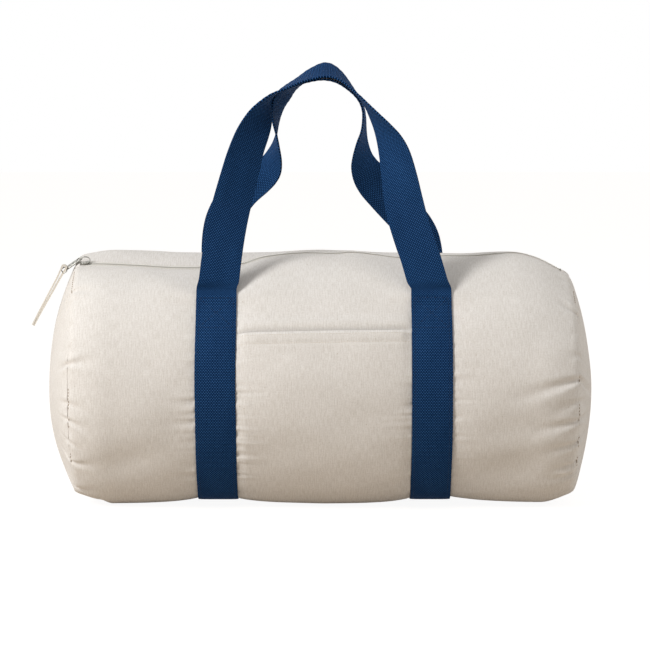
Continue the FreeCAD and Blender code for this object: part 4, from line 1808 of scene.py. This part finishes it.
@dataclass
class Handles(Assembly):
    """Two webbing handles that lean together over the bag."""

    straps: GirthStraps
    thickness: float = 1.8 * MM
    rise: float = 219 * MM
    bow: float = 8 * MM
    columns: int = 16
    steps: int = 12
    lap_rows: int = 3
    lap_arc: float = 1.4 * MM
    join_length: float = 26 * MM
    bend_length: float = 20 * MM
    top_shares: Pair = (0.72, 0.9)
    rib: float = 0.12 * MM
    rib_pitch: float = 0.9 * MM
    edge_cup: float = 0.25 * MM
    top_cup: float = 0.4 * MM
    wave: float = 0.5 * MM
    wave_rates: Pair = (22, 1.5)
    front_route: Route = (
        (-1, 0.001, -1, 0), (-1, 0.032, -1, 0),
        (-0.995, 0.06, -1, 0), (-0.975, 0.11, -0.99, 0.09),
        (-0.95, 0.208, -0.98, 0.14), (-0.915, 0.31, -0.96, 0.18),
        (-0.866, 0.415, -0.93, 0.22), (-0.775, 0.573, -0.88, 0.23),
        (-0.726, 0.655, -0.83, 0.19), (-0.674, 0.72, -0.8, 0.16),
        (-0.628, 0.77, -0.7, 0.14), (-0.586, 0.815, -0.51, 0.12),
        (-0.535, 0.855, -0.24, 0.1), (-0.472, 0.887, -0.04, 0.06),
        (-0.374, 0.914, 0.05, -0.03), (-0.238, 0.948, 0.06, -0.11),
        (-0.117, 0.976, 0.05, -0.25), (0.022, 0.994, 0, -0.34),
        (0.148, 0.969, -0.04, -0.21), (0.298, 0.895, 0.01, -0.01),
        (0.391, 0.846, 0.08, 0.04), (0.468, 0.8, 0.22, 0.07),
        (0.546, 0.75, 0.4, 0.11), (0.611, 0.698, 0.59, 0.14),
        (0.66, 0.634, 0.73, 0.18), (0.702, 0.543, 0.85, 0.16),
        (0.737, 0.453, 0.93, 0.16), (0.784, 0.361, 0.96, 0.19),
        (0.854, 0.258, 0.96, 0.21), (0.895, 0.206, 0.97, 0.18),
        (0.96, 0.105, 0.99, 0.11), (0.99, 0.06, 1, 0),
        (1, 0.032, 1, 0), (1, 0.001, 1, 0),
    )
    back_route: Route = (
        (-1, 0.001, -1, 0), (-1, 0.032, -1, 0),
        (-1.005, 0.06, -1, 0), (-1.03, 0.185, -0.99, 0.01),
        (-0.985, 0.32, -0.95, 0.2), (-0.85, 0.43, -0.84, 0.47),
        (-0.68, 0.505, -0.71, 0.61), (-0.584, 0.535, -0.63, 0.49),
        (-0.527, 0.562, -0.59, 0.29), (-0.491, 0.601, -0.46, 0.11),
        (-0.464, 0.658, -0.21, -0.01), (-0.453, 0.706, -0.04, -0.04),
        (-0.455, 0.76, 0.11, -0.04), (-0.449, 0.798, 0.2, -0.05),
        (-0.427, 0.84, 0.29, -0.07), (-0.384, 0.877, 0.33, -0.11),
        (-0.289, 0.915, 0.17, -0.04), (-0.13, 0.952, 0.04, 0.1),
        (0, 0.966, 0, 0.17), (0.12, 0.949, -0.03, 0.13),
        (0.255, 0.903, 0.02, 0.05), (0.327, 0.866, 0.04, 0.01),
        (0.363, 0.829, 0.05, 0), (0.376, 0.787, 0.075, -0.01),
        (0.374, 0.73, 0.13, -0.01), (0.362, 0.677, 0.28, 0),
        (0.364, 0.618, 0.48, 0.06), (0.39, 0.572, 0.68, 0.15),
        (0.437, 0.53, 0.78, 0.37), (0.496, 0.489, 0.75, 0.54),
        (0.585, 0.443, 0.715, 0.62), (0.702, 0.386, 0.71, 0.66),
        (0.793, 0.34, 0.72, 0.63), (0.891, 0.29, 0.76, 0.57),
        (0.955, 0.235, 0.9, 0.36), (0.985, 0.18, 0.98, 0.1),
        (1, 0.11, 1, 0), (1, 0.06, 1, 0),
        (1, 0.032, 1, 0), (1, 0.001, 1, 0),
    )

    def smooth_route(self, keys: Route) -> list[tuple[float, ...]]:
        """Places between the keys of a route, on a smooth curve through them.

        Args:
            keys: shares of half the strap spacing and of the rise, then X and Z of the edge's direction.

        Returns:
            The places in order.
        """
        numbered = [(float(index), *key) for index, key in enumerate(keys)]
        count = (len(keys) - 1) * self.steps
        return [tuple(through(numbered, step / self.steps)) for step in range(count + 1)]

    def build(self) -> None:
        """Makes both handles."""
        self.loop("front", self.front_route, -1, Body.FRONT_HANDLE)
        self.loop("back", self.back_route, 1, Body.BACK_HANDLE)

    def loop(self, name: str, keys: Route, side: int, body: Body) -> None:
        """Lays one handle along its route.

        Args:
            name: front or back.
            keys: its route.
            side: sign of Y at its feet.
            body: not used.
        """
        gauge = self.form.gauge
        root = gauge.handle_root
        route = self.smooth_route(keys)
        spine = []
        for across, up, _, _ in route:
            x = across * gauge.strap_x[1]
            y = root.y * (1 - up) + self.bow * math.sin(math.pi * up) ** 2
            spine.append(Vector((x, side * y, root.z + up * self.rise)))
        lengths = [0.0]
        for first, second in zip(spine, spine[1:]):
            lengths.append(lengths[-1] + (second - first).length)
        frames = []
        for index, (_, up, edge_x, edge_z) in enumerate(route):
            along = (spine[min(index + 1, len(spine) - 1)] - spine[max(index - 1, 0)]).normalized()
            depth = side * math.sqrt(max(1 - edge_x**2 - edge_z**2, 0.0))
            width = Vector((edge_x, depth, edge_z)).normalized()
            frames.append((width, width.cross(along).normalized() * side, smooth(*self.top_shares, up)))
        half = gauge.strap_half
        total = lengths[-1]
        last = len(route) - 1
        feet = [Foot(self.straps, x, -side) for x in gauge.strap_x]
        columns = webbing_columns(half, self.columns)

        def place(column: int, row: int) -> Vector:
            """Place of a grid point."""
            across = columns[column] - half
            share = across / half
            step = row - self.lap_rows
            if step < 0:
                return feet[0].lap(-side * across, -step / self.lap_rows * self.lap_arc)
            if step > last:
                return feet[1].lap(side * across, (step - last) / self.lap_rows * self.lap_arc)
            width, outward, top = frames[step]
            rib = self.rib * top * math.sin(lengths[step] / self.rib_pitch)
            cup = self.edge_cup * share**6 + self.top_cup * top * share * share
            rates = self.wave_rates
            wave = self.wave * noise.noise(Vector((lengths[step] * rates[0], share * rates[1], side * 4.0)))
            spot = spine[step] + width * (side * across) + outward * (rib - cup + wave * (1 - share**2))
            first = step < last / 2
            near = lengths[step] if first else total - lengths[step]
            if near > self.join_length:
                return spot
            straight = feet[0].rise(-side * across, near) if first else feet[1].rise(side * across, near)
            return straight.lerp(spot, smooth(0.0, self.join_length, near))

        along = []
        for step in range(-self.lap_rows, last + self.lap_rows + 1):
            kept = min(max(step, 0), last)
            along.append(lengths[kept] + (step - kept) / self.lap_rows * self.lap_arc)
        piece = cloth_grid(f"webbing_handle_{name}", columns, along, place, crisp=False)
        thicken(piece, self.thickness)
        self.wardrobe.dress(piece, self.wardrobe.webbing, f"{name}_handle_loop")
        start = feet[0].rise(0.0, 0.0)
        start.x = 0.0
        lean = Vector((0, -side * root.y, self.rise)).normalized()
        start + lean * self.bend_length
        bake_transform(piece)


@dataclass
class ZipChain(Assembly):
    """Tapes, coils, stops, end tabs and topstitching of the zip."""

    panels: MouthPanels
    tape_reach: float = 9 * MM
    tape_sink: float = 0.15 * MM
    tape_thickness: float = 0.6 * MM
    tape_gap: float = 0.3 * MM
    tape_tuck: float = 0.5 * MM
    tape_tuck_arcs: Pair = (3 * MM, 6 * MM)
    tape_step: float = 3 * MM
    tape_columns: int = 6
    tooth_pitch: float = 1.5 * MM
    tooth: Triple = (1.15 * MM, 1.9 * MM, 1.5 * MM)
    tooth_out: float = 0.75 * MM
    tooth_rise: float = 0.75 * MM
    tooth_shifts: Pair = (0.25, 0.75)
    left_end: float = -234.6 * MM
    right_end: float = 231.2 * MM
    stitch_arc: float = 2.6 * MM
    stitch_pitch: float = 2.7 * MM
    stitch_end: float = 6 * MM
    stitch_lift: float = 0.1 * MM
    thread_width: float = 0.5 * MM
    crimp: Triple = (1.4 * MM, 2.0 * MM, 2.0 * MM)
    crimp_out: float = 1.5 * MM
    crimp_rise: float = 0.7 * MM
    crimp_round: float = 0.35 * MM
    fold_half: float = 6.5 * MM
    fold_clear: float = 0.5 * MM
    fold_lap: float = 1.0 * MM
    fold_lift: float = 0.3 * MM
    fold_arch: float = 1.4 * MM
    fold_start: float = 0.2
    fold_thickness: float = 0.8 * MM
    fold_columns: int = 10
    fold_rows: int = 12

    def chain_point(self, x: float, arc: float, lift: float) -> Vector:
        """Place beside the chain.

        Args:
            x: place along the bag.
            arc: distance across from the chain, positive to the front.
            lift: height over the canvas there.

        Returns:
            The point.
        """
        return self.form.point(x, self.form.zip_turn(x) + self.form.arc_turn(arc), lift)

    def span(self, end: End) -> tuple[float, float]:
        """Where one half of the chain starts and ends along the bag."""
        return (self.left_end, 0.0) if end is End.LEFT else (0.0, self.right_end)

    def build(self) -> None:
        """Makes the chain in the same halves as the mouth's canvas."""
        for side in Side:
            for end in End:
                self.tape(side, end)
                self.coil(side, end)
                self.topstitch(side, end)
        for end in End:
            self.stops(end)
        for end in End:
            self.end_tab(end)

    def tape(self, side: Side, end: End) -> None:
        """Lays one half of a tape under the folded edge.

        Args:
            side: front or back of the zip.
            end: left or right half.
        """
        low, high = self.span(end)
        count = round((high - low) / self.tape_step)
        columns = self.tape_columns

        def place(column: int, row: int) -> Vector:
            """Place of a grid point."""
            arc = self.tape_gap + (self.tape_reach - self.tape_gap) * column / columns
            sink = self.tape_sink + self.tape_tuck * smooth(*self.tape_tuck_arcs, arc)
            return self.chain_point(low + (high - low) * row / count, side.value * arc, -sink)

        along = even(high - low, count)
        name = f"zip_tape_{side.label}_{end.label}"
        piece = cloth_grid(name, even(self.tape_reach, columns), along, place)
        face_up(piece)
        thicken(piece, self.tape_thickness)
        nodes = (f"{side.label}_zip_tape", f"{end.label}_zip_end_tape")
        self.wardrobe.dress(piece, self.wardrobe.zip_tape, *nodes)
        return self.panels.bend(piece, side, end)

    def coil(self, side: Side, end: End) -> None:
        """Sets one half of a coil's turns along the chain.

        Args:
            side: front or back of the zip.
            end: left or right half.
        """
        low, high = self.span(end)
        bm = bmesh.new()
        shift = self.tooth_shifts[0 if side is Side.FRONT else 1]
        size = Matrix.Diagonal((*self.tooth, 1.0))
        for index in range(int((high - low) / self.tooth_pitch)):
            x = low + (index + shift) * self.tooth_pitch
            spot = self.chain_point(x, side.value * self.tooth_out, self.tooth_rise - self.tape_sink)
            made = bmesh.ops.create_icosphere(bm, subdivisions=1, radius=0.5)
            lean = Matrix.Rotation(math.radians(self.form.zip_turn(x)), 4, "X")
            bmesh.ops.transform(bm, matrix=Matrix.Translation(spot) @ lean @ size, verts=made["verts"])
        piece = smooth_object(bm, f"zip_coil_{side.label}_{end.label}")
        nodes = (f"{side.label}_zip_coil", f"{end.label}_zip_end_coil")
        self.wardrobe.dress(piece, self.wardrobe.coil, *nodes)
        return self.panels.bend(piece, side, end)

    def topstitch(self, side: Side, end: End) -> None:
        """Sews one half of the row beside the zip.

        Args:
            side: front or back of the zip.
            end: left or right half.
        """
        bm = bmesh.new()
        seam = end.value * (self.form.gauge.seam - self.stitch_end)

        def turn_at(x: float) -> float:
            """Turn of the row."""
            return self.panels.edge_turn(x, side, self.stitch_arc)

        sew(
            bm,
            lambda share: self.form.point(seam * share, turn_at(seam * share), self.stitch_lift),
            lambda share: self.form.normal(seam * share, turn_at(seam * share)),
            abs(seam),
            self.stitch_pitch,
            self.thread_width,
        )
        piece = smooth_object(bm, f"zip_topstitch_{side.label}_{end.label}")
        self.wardrobe.dress(piece, self.wardrobe.natural_thread, f"{side.label}_lip_topstitch")
        return self.panels.bend(piece, side, end)

    def stops(self, end: End) -> None:
        """Crimps a pair of metal stops on one end of the chain.

        Args:
            end: left or right.
        """
        low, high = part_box(f"{end.label}_zip_stop")
        x = (low.x + high.x) / 2
        bm = bmesh.new()
        size = Matrix.Diagonal((*self.crimp, 1.0))
        for side in Side:
            made = bmesh.ops.create_cube(bm, size=1.0)
            spot = self.chain_point(x, side.value * self.crimp_out, self.crimp_rise - self.tape_sink)
            bmesh.ops.transform(bm, matrix=Matrix.Translation(spot) @ size, verts=made["verts"])
        round_rims(bm, bm.edges[:], self.crimp_round)
        piece = smooth_object(bm, f"zip_stop_crimps_{end.label}")
        self.fix(piece, self.wardrobe.nickel, f"{end.label}_zip_stop")

    def end_tab(self, end: End) -> None:
        """Folds a tab of canvas over one end of the chain.

        Args:
            end: left or right.
        """
        chain_end = self.left_end if end is End.LEFT else self.right_end
        outer = end.value * (self.form.gauge.seam - self.fold_clear)
        inner = end.value * (abs(chain_end) - self.fold_lap)

        def place(column: int, row: int) -> Vector:
            """Place of a grid point."""
            share = row / self.fold_rows if end is End.RIGHT else 1 - row / self.fold_rows
            across = 1 - 2 * column / self.fold_columns
            lift = self.fold_lift + self.fold_arch * (1 - across**2)
            lift *= smooth(0.0, self.fold_start, share)
            return self.chain_point(inner + (outer - inner) * share, self.fold_half * across, lift)

        across = even(self.fold_half, self.fold_columns)
        along = even(outer - inner, self.fold_rows)
        piece = cloth_grid(f"zip_end_fold_{end.label}", across, along, place)
        face_up(piece)
        thicken(piece, self.fold_thickness)
        self.fix(piece, self.wardrobe.canvas, f"{end.label}_zip_end_tab")


@dataclass(frozen=True)
class Ring:
    """Flat ring of the pull, with its ends along the pull, half its width, its bars and its thickness."""

    start: float
    end: float
    half: float
    bar: float
    thick: float


@dataclass
class Slider(Assembly):
    """Metal slider with its bridge, pull and folded cotton tab."""

    pin_back: float = 5.2 * MM
    pin_rise: float = 5.4 * MM
    tilt: float = 14
    plate_middle: float = -0.6 * MM
    plate_half: float = 5.2 * MM
    plate_width: float = 4.6 * MM
    plate_nose: float = 5 * MM
    plate_taper: float = 0.13
    plate_power: float = 0.55
    plate_faces: Pair = (1.2 * MM, 2.3 * MM)
    plate_sides: int = 36
    rim_share: float = 0.32
    neck_middle: float = -3.0 * MM
    neck_half: Pair = (1.6 * MM, 0.7 * MM)
    neck_height: float = 1.4 * MM
    rail_across: float = 4.1 * MM
    rail_start: float = -4.6 * MM
    rail_length: float = 8.4 * MM
    rail_height: float = 0.9 * MM
    rail_bar: Pair = (0.45 * MM, 0.5 * MM)
    rail_taper: float = 0.144
    rail_steps: int = 8
    bridge_middle: float = -1.7 * MM
    bridge_half: float = 5.9 * MM
    bridge_foot: float = 1.6 * MM
    bridge_rise: float = 5.4 * MM
    bridge_power: float = 0.75
    bridge_bar: Pair = (1.2 * MM, 0.55 * MM)
    bridge_steps: int = 24
    bar_sides: int = 12
    bar_power: float = 0.6
    pull_drop: float = 35
    pull_roll: float = 24
    pull_rim: float = 0.3 * MM
    eye: Ring = Ring(-1.2 * MM, 5.6 * MM, 2.9 * MM, 1.05 * MM, 1.2 * MM)
    tab_ring: Ring = Ring(17.2 * MM, 22.8 * MM, 5.7 * MM, 0.95 * MM, 1.0 * MM)
    ring_sides: int = 48
    ring_power: float = 0.5
    stem_middle: float = -11.6 * MM
    stem_half: Pair = (7.2 * MM, 2.9 * MM)
    stem_height: float = 0.75 * MM
    stem_power: float = 0.4
    tab_drop: float = 62.5
    tab_length: float = 63 * MM
    tab_width: float = 9.2 * MM
    tab_layer: float = 1.7 * MM
    tab_gap: float = 1.2 * MM
    tab_rim: float = 0.5 * MM
    tab_loop: Pair = (1.7 * MM, 2.2 * MM)
    tab_flare: float = 0.75 * MM
    flare_share: float = 0.13
    tab_closing: float = 0.55 * MM
    closing_start: float = 0.2
    tab_sway: float = 1.3 * MM
    sway_turn: float = 2.2
    tab_steps: int = 44
    loop_steps: int = 12
    tab_columns: int = 8

    def hang(self, pin: Vector, drop: float) -> Matrix:
        """Frame that is turned with the zip and drops by an angle along -X from a pin."""
        turned = Matrix.Rotation(self.form.gauge.zip_angle, 4, "Z")
        return Matrix.Translation(pin) @ turned @ Matrix.Rotation(math.radians(-drop), 4, "Y")

    def seat(self) -> Matrix:
        """Frame of the slider, with its nose along -X."""
        pin = Vector((-self.pin_back, 0, self.pin_rise))
        return self.hang(self.form.gauge.pull_pin - self.hang(Vector(), 0.0) @ pin, self.tilt)

    def slab(self, bm: Mesh, outline: Callable[[float], Pair], low: float, high: float) -> None:
        """Plate with rounded rims.

        Args:
            bm: the mesh that takes it.
            outline: gives X and Y of the rim from an angle.
            low: height of its lower face.
            high: height of its upper face.
        """
        made = bmesh.ops.create_circle(bm, cap_ends=True, segments=self.plate_sides, radius=1.0)
        verts = made["verts"]
        for vert in verts:
            vert.co = Vector((*outline(math.atan2(vert.co.y, vert.co.x)), low))
        face = next(face for face in bm.faces if set(face.verts) == set(verts))
        rims = list(face.edges)
        grown = bmesh.ops.extrude_face_region(bm, geom=[face])
        top = [item for item in grown["geom"] if isinstance(item, bmesh.types.BMVert)]
        bmesh.ops.translate(bm, verts=top, vec=(0, 0, high - low))
        rims += [item for item in grown["geom"] if isinstance(item, bmesh.types.BMEdge)]
        round_rims(bm, rims, (high - low) * self.rim_share)

    def bar(self, bm: Mesh, path: Sequence[Vector], wide: float, thick: float) -> None:
        """Bar with a rounded section and closed ends along a path that lies across Y.

        Args:
            bm: the mesh that takes it.
            path: its middle line.
            wide: half its width along Y.
            thick: half its thickness.
        """
        sides = self.bar_sides
        last = len(path) - 1
        level = Vector((0, 1, 0))
        made = bmesh.ops.create_grid(bm, x_segments=sides, y_segments=last, size=0.5)
        for vert in made["verts"]:
            column = round((vert.co.x + 0.5) * sides)
            row = round((vert.co.y + 0.5) * last)
            along = (path[min(row + 1, last)] - path[max(row - 1, 0)]).normalized()
            up = along.cross(level).normalized()
            flat, high = squared(2 * math.pi * (column % sides) / sides, self.bar_power)
            size = 0.0 if row in (0, last) else 1.0
            vert.co = path[row] + (level * wide * flat + up * thick * high) * size
        bmesh.ops.remove_doubles(bm, verts=made["verts"], dist=MERGE_GAP)

    def polish(
        self, bm: Mesh, name: str, place: Matrix, body: Body, node: str
    ) -> Piece:
        """Ends a metal piece.

        Args:
            bm: its mesh.
            name: its name.
            place: its frame.
            body: the body that it follows.
            node: the node that it replaces.

        Returns:
            The metal piece.
        """
        bmesh.ops.transform(bm, matrix=place, verts=bm.verts[:])
        bmesh.ops.recalc_face_normals(bm, faces=bm.faces[:])
        piece = smooth_object(bm, name)
        self.wardrobe.dress(piece, self.wardrobe.nickel, node)
        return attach(piece, body.value)

    def build(self) -> None:
        """Makes the slider, its bridge, the pull and the tab."""
        self.plates()
        self.bridge()
        self.pull()
        self.tab()

    def plates(self) -> None:
        """Makes the two shaped plates and the neck between them."""

        def outline(angle: float) -> Pair:
            """Rim of a plate."""
            along, across = squared(angle, self.plate_power)
            x = self.plate_middle + self.plate_half * along
            return x, across * (self.plate_width - self.plate_taper * (x + self.plate_nose))

        def neck(angle: float) -> Pair:
            """Rim of the neck."""
            half = self.neck_half
            return self.neck_middle + half[0] * math.cos(angle), half[1] * math.sin(angle)

        bm = bmesh.new()
        low, high = self.plate_faces
        self.slab(bm, outline, low, high)
        self.slab(bm, outline, -high, -low)
        self.slab(bm, neck, -self.neck_height, self.neck_height)
        for across in (-self.rail_across, self.rail_across):
            path = []
            for step in range(self.rail_steps + 1):
                share = step / self.rail_steps
                x = self.rail_start + self.rail_length * share
                path.append(Vector((x, across * (1 - self.rail_taper * share), self.rail_height)))
            self.bar(bm, path, *self.rail_bar)
        self.polish(bm, "slider_plates", self.seat(), Body.SLIDER, "zip_slider")

    def bridge(self) -> None:
        """Makes the arch that holds the pull."""
        path = []
        for step in range(self.bridge_steps + 1):
            angle = math.pi * step / self.bridge_steps
            height = self.bridge_foot + self.bridge_rise * math.sin(angle) ** self.bridge_power
            path.append(Vector((self.bridge_middle - self.bridge_half * math.cos(angle), 0, height)))
        bm = bmesh.new()
        self.bar(bm, path, *self.bridge_bar)
        self.polish(bm, "slider_bridge", self.seat(), Body.SLIDER, "zip_slider_bridge")

    def frame_ring(self, bm: Mesh, ring: Ring) -> None:
        """Flat ring with rounded corners that lies across Y.

        Args:
            bm: the mesh that takes it.
            ring: its sizes.
        """
        middle = (ring.start + ring.end) / 2
        length = (ring.end - ring.start) / 2
        sides = self.ring_sides
        made = bmesh.ops.create_grid(bm, x_segments=sides, y_segments=4, size=0.5)
        for vert in made["verts"]:
            column = round((vert.co.x + 0.5) * sides)
            row = round((vert.co.y + 0.5) * 4) % 4
            along, across = squared(2 * math.pi * (column % sides) / sides, self.ring_power)
            inset = ring.bar if row in (1, 2) else 0.0
            height = ring.thick / 2 if row in (0, 1) else -ring.thick / 2
            vert.co = Vector((-(middle + (length - inset) * along), (ring.half - inset) * across, height))
        bmesh.ops.remove_doubles(bm, verts=made["verts"], dist=MERGE_GAP)

    def pull(self) -> None:
        """Makes the pull: an eye on the bridge, a flat stem and a ring for the tab."""

        def stem(angle: float) -> Pair:
            """Rim of the stem."""
            along, across = squared(angle, self.stem_power)
            return self.stem_middle + self.stem_half[0] * along, self.stem_half[1] * across

        bm = bmesh.new()
        self.frame_ring(bm, self.eye)
        self.slab(bm, stem, -self.stem_height, self.stem_height)
        self.frame_ring(bm, self.tab_ring)
        roll = Matrix.Rotation(math.radians(self.pull_roll), 4, "X")
        place = self.hang(self.form.gauge.pull_pin, self.pull_drop) @ roll
        piece = self.polish(bm, "pull_plate", place, Body.PULL, "zip_pull_bar")
        soften(piece, self.pull_rim)

    def tab_line(self) -> list[Vector]:
        """Middle line of the tab's tape, up one layer, round the ring and down the other.

        Returns:
            The places in order.
        """

        def layer(share: float, sign: int) -> Vector:
            """Place on one of the two layers."""
            flare = self.tab_flare * math.exp(-((share / self.flare_share) ** 2))
            closing = self.tab_closing * smooth(self.closing_start, 1.0, share)
            sway = self.tab_sway * math.sin(self.sway_turn * share) * share
            return Vector((-self.tab_length * share, 0, sign * (self.tab_gap + flare - closing) + sway))

        shares = [step / self.tab_steps for step in range(self.tab_steps + 1)]
        line = [layer(share, -1) for share in reversed(shares)]
        for step in range(1, self.loop_steps):
            angle = math.pi * step / self.loop_steps
            line.append(Vector((self.tab_loop[0] * math.sin(angle), 0, -self.tab_loop[1] * math.cos(angle))))
        return line + [layer(share, 1) for share in shares]

    def tab(self) -> None:
        """Folds a cotton tape through the pull's ring and lets it hang."""
        line = self.tab_line()
        columns = self.tab_columns
        lengths = [0.0]
        for first, second in zip(line, line[1:]):
            lengths.append(lengths[-1] + (second - first).length)

        def place(column: int, row: int) -> Vector:
            """Place of a grid point."""
            return line[row] - Vector((0, self.tab_width * (column / columns - 0.5), 0))

        piece = cloth_grid("cotton_pull_tab", even(self.tab_width, columns), lengths, place)
        piece.data.transform(self.hang(self.form.gauge.tab_pin, self.tab_drop))
        thicken(piece, self.tab_layer, 0.0)
        soften(piece, self.tab_rim)
        self.wardrobe.dress(piece, self.wardrobe.pull_cotton, "zip_pull_tab")
        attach(piece, Body.TAB.value)


@dataclass(frozen=True)
class Lamp:
    """Square soft light that faces the bag, with its power in watts."""

    name: str
    spot: Triple
    size: float
    power: float


@dataclass
class Studio:
    """Floor, lights and camera."""

    floor_size: float = 14.0
    floor_colour: Colour = (0.66, 0.585, 0.50)
    floor_glow: float = 1.33
    floor_seen: float = 0.7
    target: Triple = (0.001, 0.0, 0.1676)
    distance: float = 2.5
    elevation: float = 6
    lens: float = 142
    sensor: float = 36.0
    world_strength: float = 0.34
    world_colour: Colour = (1.0, 0.970, 0.925)
    lamps: Sequence[Lamp] = (
        Lamp("key", (-1.95, -1.4, 1.6), 1.0, 55),
        Lamp("fill", (2.6, 0.1, 1.3), 1.6, 16),
        Lamp("top", (0.2, -0.4, 2.6), 1.6, 8),
    )

    def build(self) -> None:
        """Sets up the studio."""
        self.floor()
        self.world()
        for lamp in self.lamps:
            self.hang(lamp)
        self.camera()
        bpy.context.scene.view_settings.view_transform = "Standard"

    def floor(self) -> None:
        """Lays a white floor that keeps the bag's shadow."""
        bm = bmesh.new()
        bmesh.ops.create_grid(bm, x_segments=1, y_segments=1, size=self.floor_size / 2)
        piece = to_object(bm, "studio_floor")
        graph = material_graph("white_floor")
        glow = graph.add("ShaderNodeEmission", {}, {"Color": WHITE, "Strength": self.floor_glow})
        matt = graph.add("ShaderNodeBsdfDiffuse", {}, {"Color": opaque(self.floor_colour)})
        share = graph.seen() * self.floor_seen
        graph.end(graph.add("ShaderNodeMixShader", {}, {0: share, 1: matt, 2: glow}))
        piece.data.materials.append(graph.owner)

    def world(self) -> None:
        """Sets a soft surround that looks pure white where it is seen."""
        world = bpy.data.worlds.new("studio")
        bpy.context.scene.world = world
        graph = Graph(world)
        soft = {"Color": opaque(self.world_colour), "Strength": self.world_strength}
        plain = graph.add("ShaderNodeBackground", {}, soft)
        white = graph.add("ShaderNodeBackground", {}, {"Color": WHITE, "Strength": 1.0})
        mixed = graph.add("ShaderNodeMixShader", {}, {0: graph.seen(), 1: plain, 2: white})
        graph.end(mixed, "ShaderNodeOutputWorld")

    def hang(self, lamp: Lamp) -> None:
        """Hangs one light.

        Args:
            lamp: its name, place, size and power.
        """
        data = bpy.data.lights.new(lamp.name, "AREA")
        data.shape = "SQUARE"
        data.size = lamp.size
        data.energy = lamp.power
        piece = bpy.data.objects.new(lamp.name, data)
        piece.location = lamp.spot
        piece.rotation_euler = (Vector(self.target) - Vector(lamp.spot)).to_track_quat("-Z", "Y").to_euler()
        bpy.context.scene.collection.objects.link(piece)

    def camera(self) -> None:
        """Aims the camera from the photograph's viewpoint."""
        data = bpy.data.cameras.new("view")
        data.lens = self.lens
        data.sensor_width = self.sensor
        camera = bpy.data.objects.new("view", data)
        rise = math.radians(self.elevation)
        back = Vector((0, -math.cos(rise), math.sin(rise)))
        camera.location = Vector(self.target) + back * self.distance
        camera.rotation_euler = (-back).to_track_quat("-Z", "Y").to_euler()
        bpy.context.scene.collection.objects.link(camera)
        bpy.context.scene.camera = camera


def main() -> None:
    """Builds the bag's sub-assemblies in order, then the studio."""
    logging.basicConfig(level=logging.INFO, format="%(name)s: %(message)s")
    gauge = Gauge()
    form = BarrelForm(gauge)
    wardrobe = Wardrobe()
    canvas = CanvasBody(form, wardrobe)
    canvas.build()
    panels = MouthPanels(form, wardrobe, canvas.columns())
    panels.build()
    EndPanels(form, wardrobe).build()
    FrontPocket(form, wardrobe).build()
    straps = GirthStraps(form, wardrobe)
    straps.build()
    Handles(form, wardrobe, straps).build()
    ZipChain(form, wardrobe, panels).build()
    Slider(form, wardrobe).build()
    Studio().build()


if __name__ == "__main__":
    main()
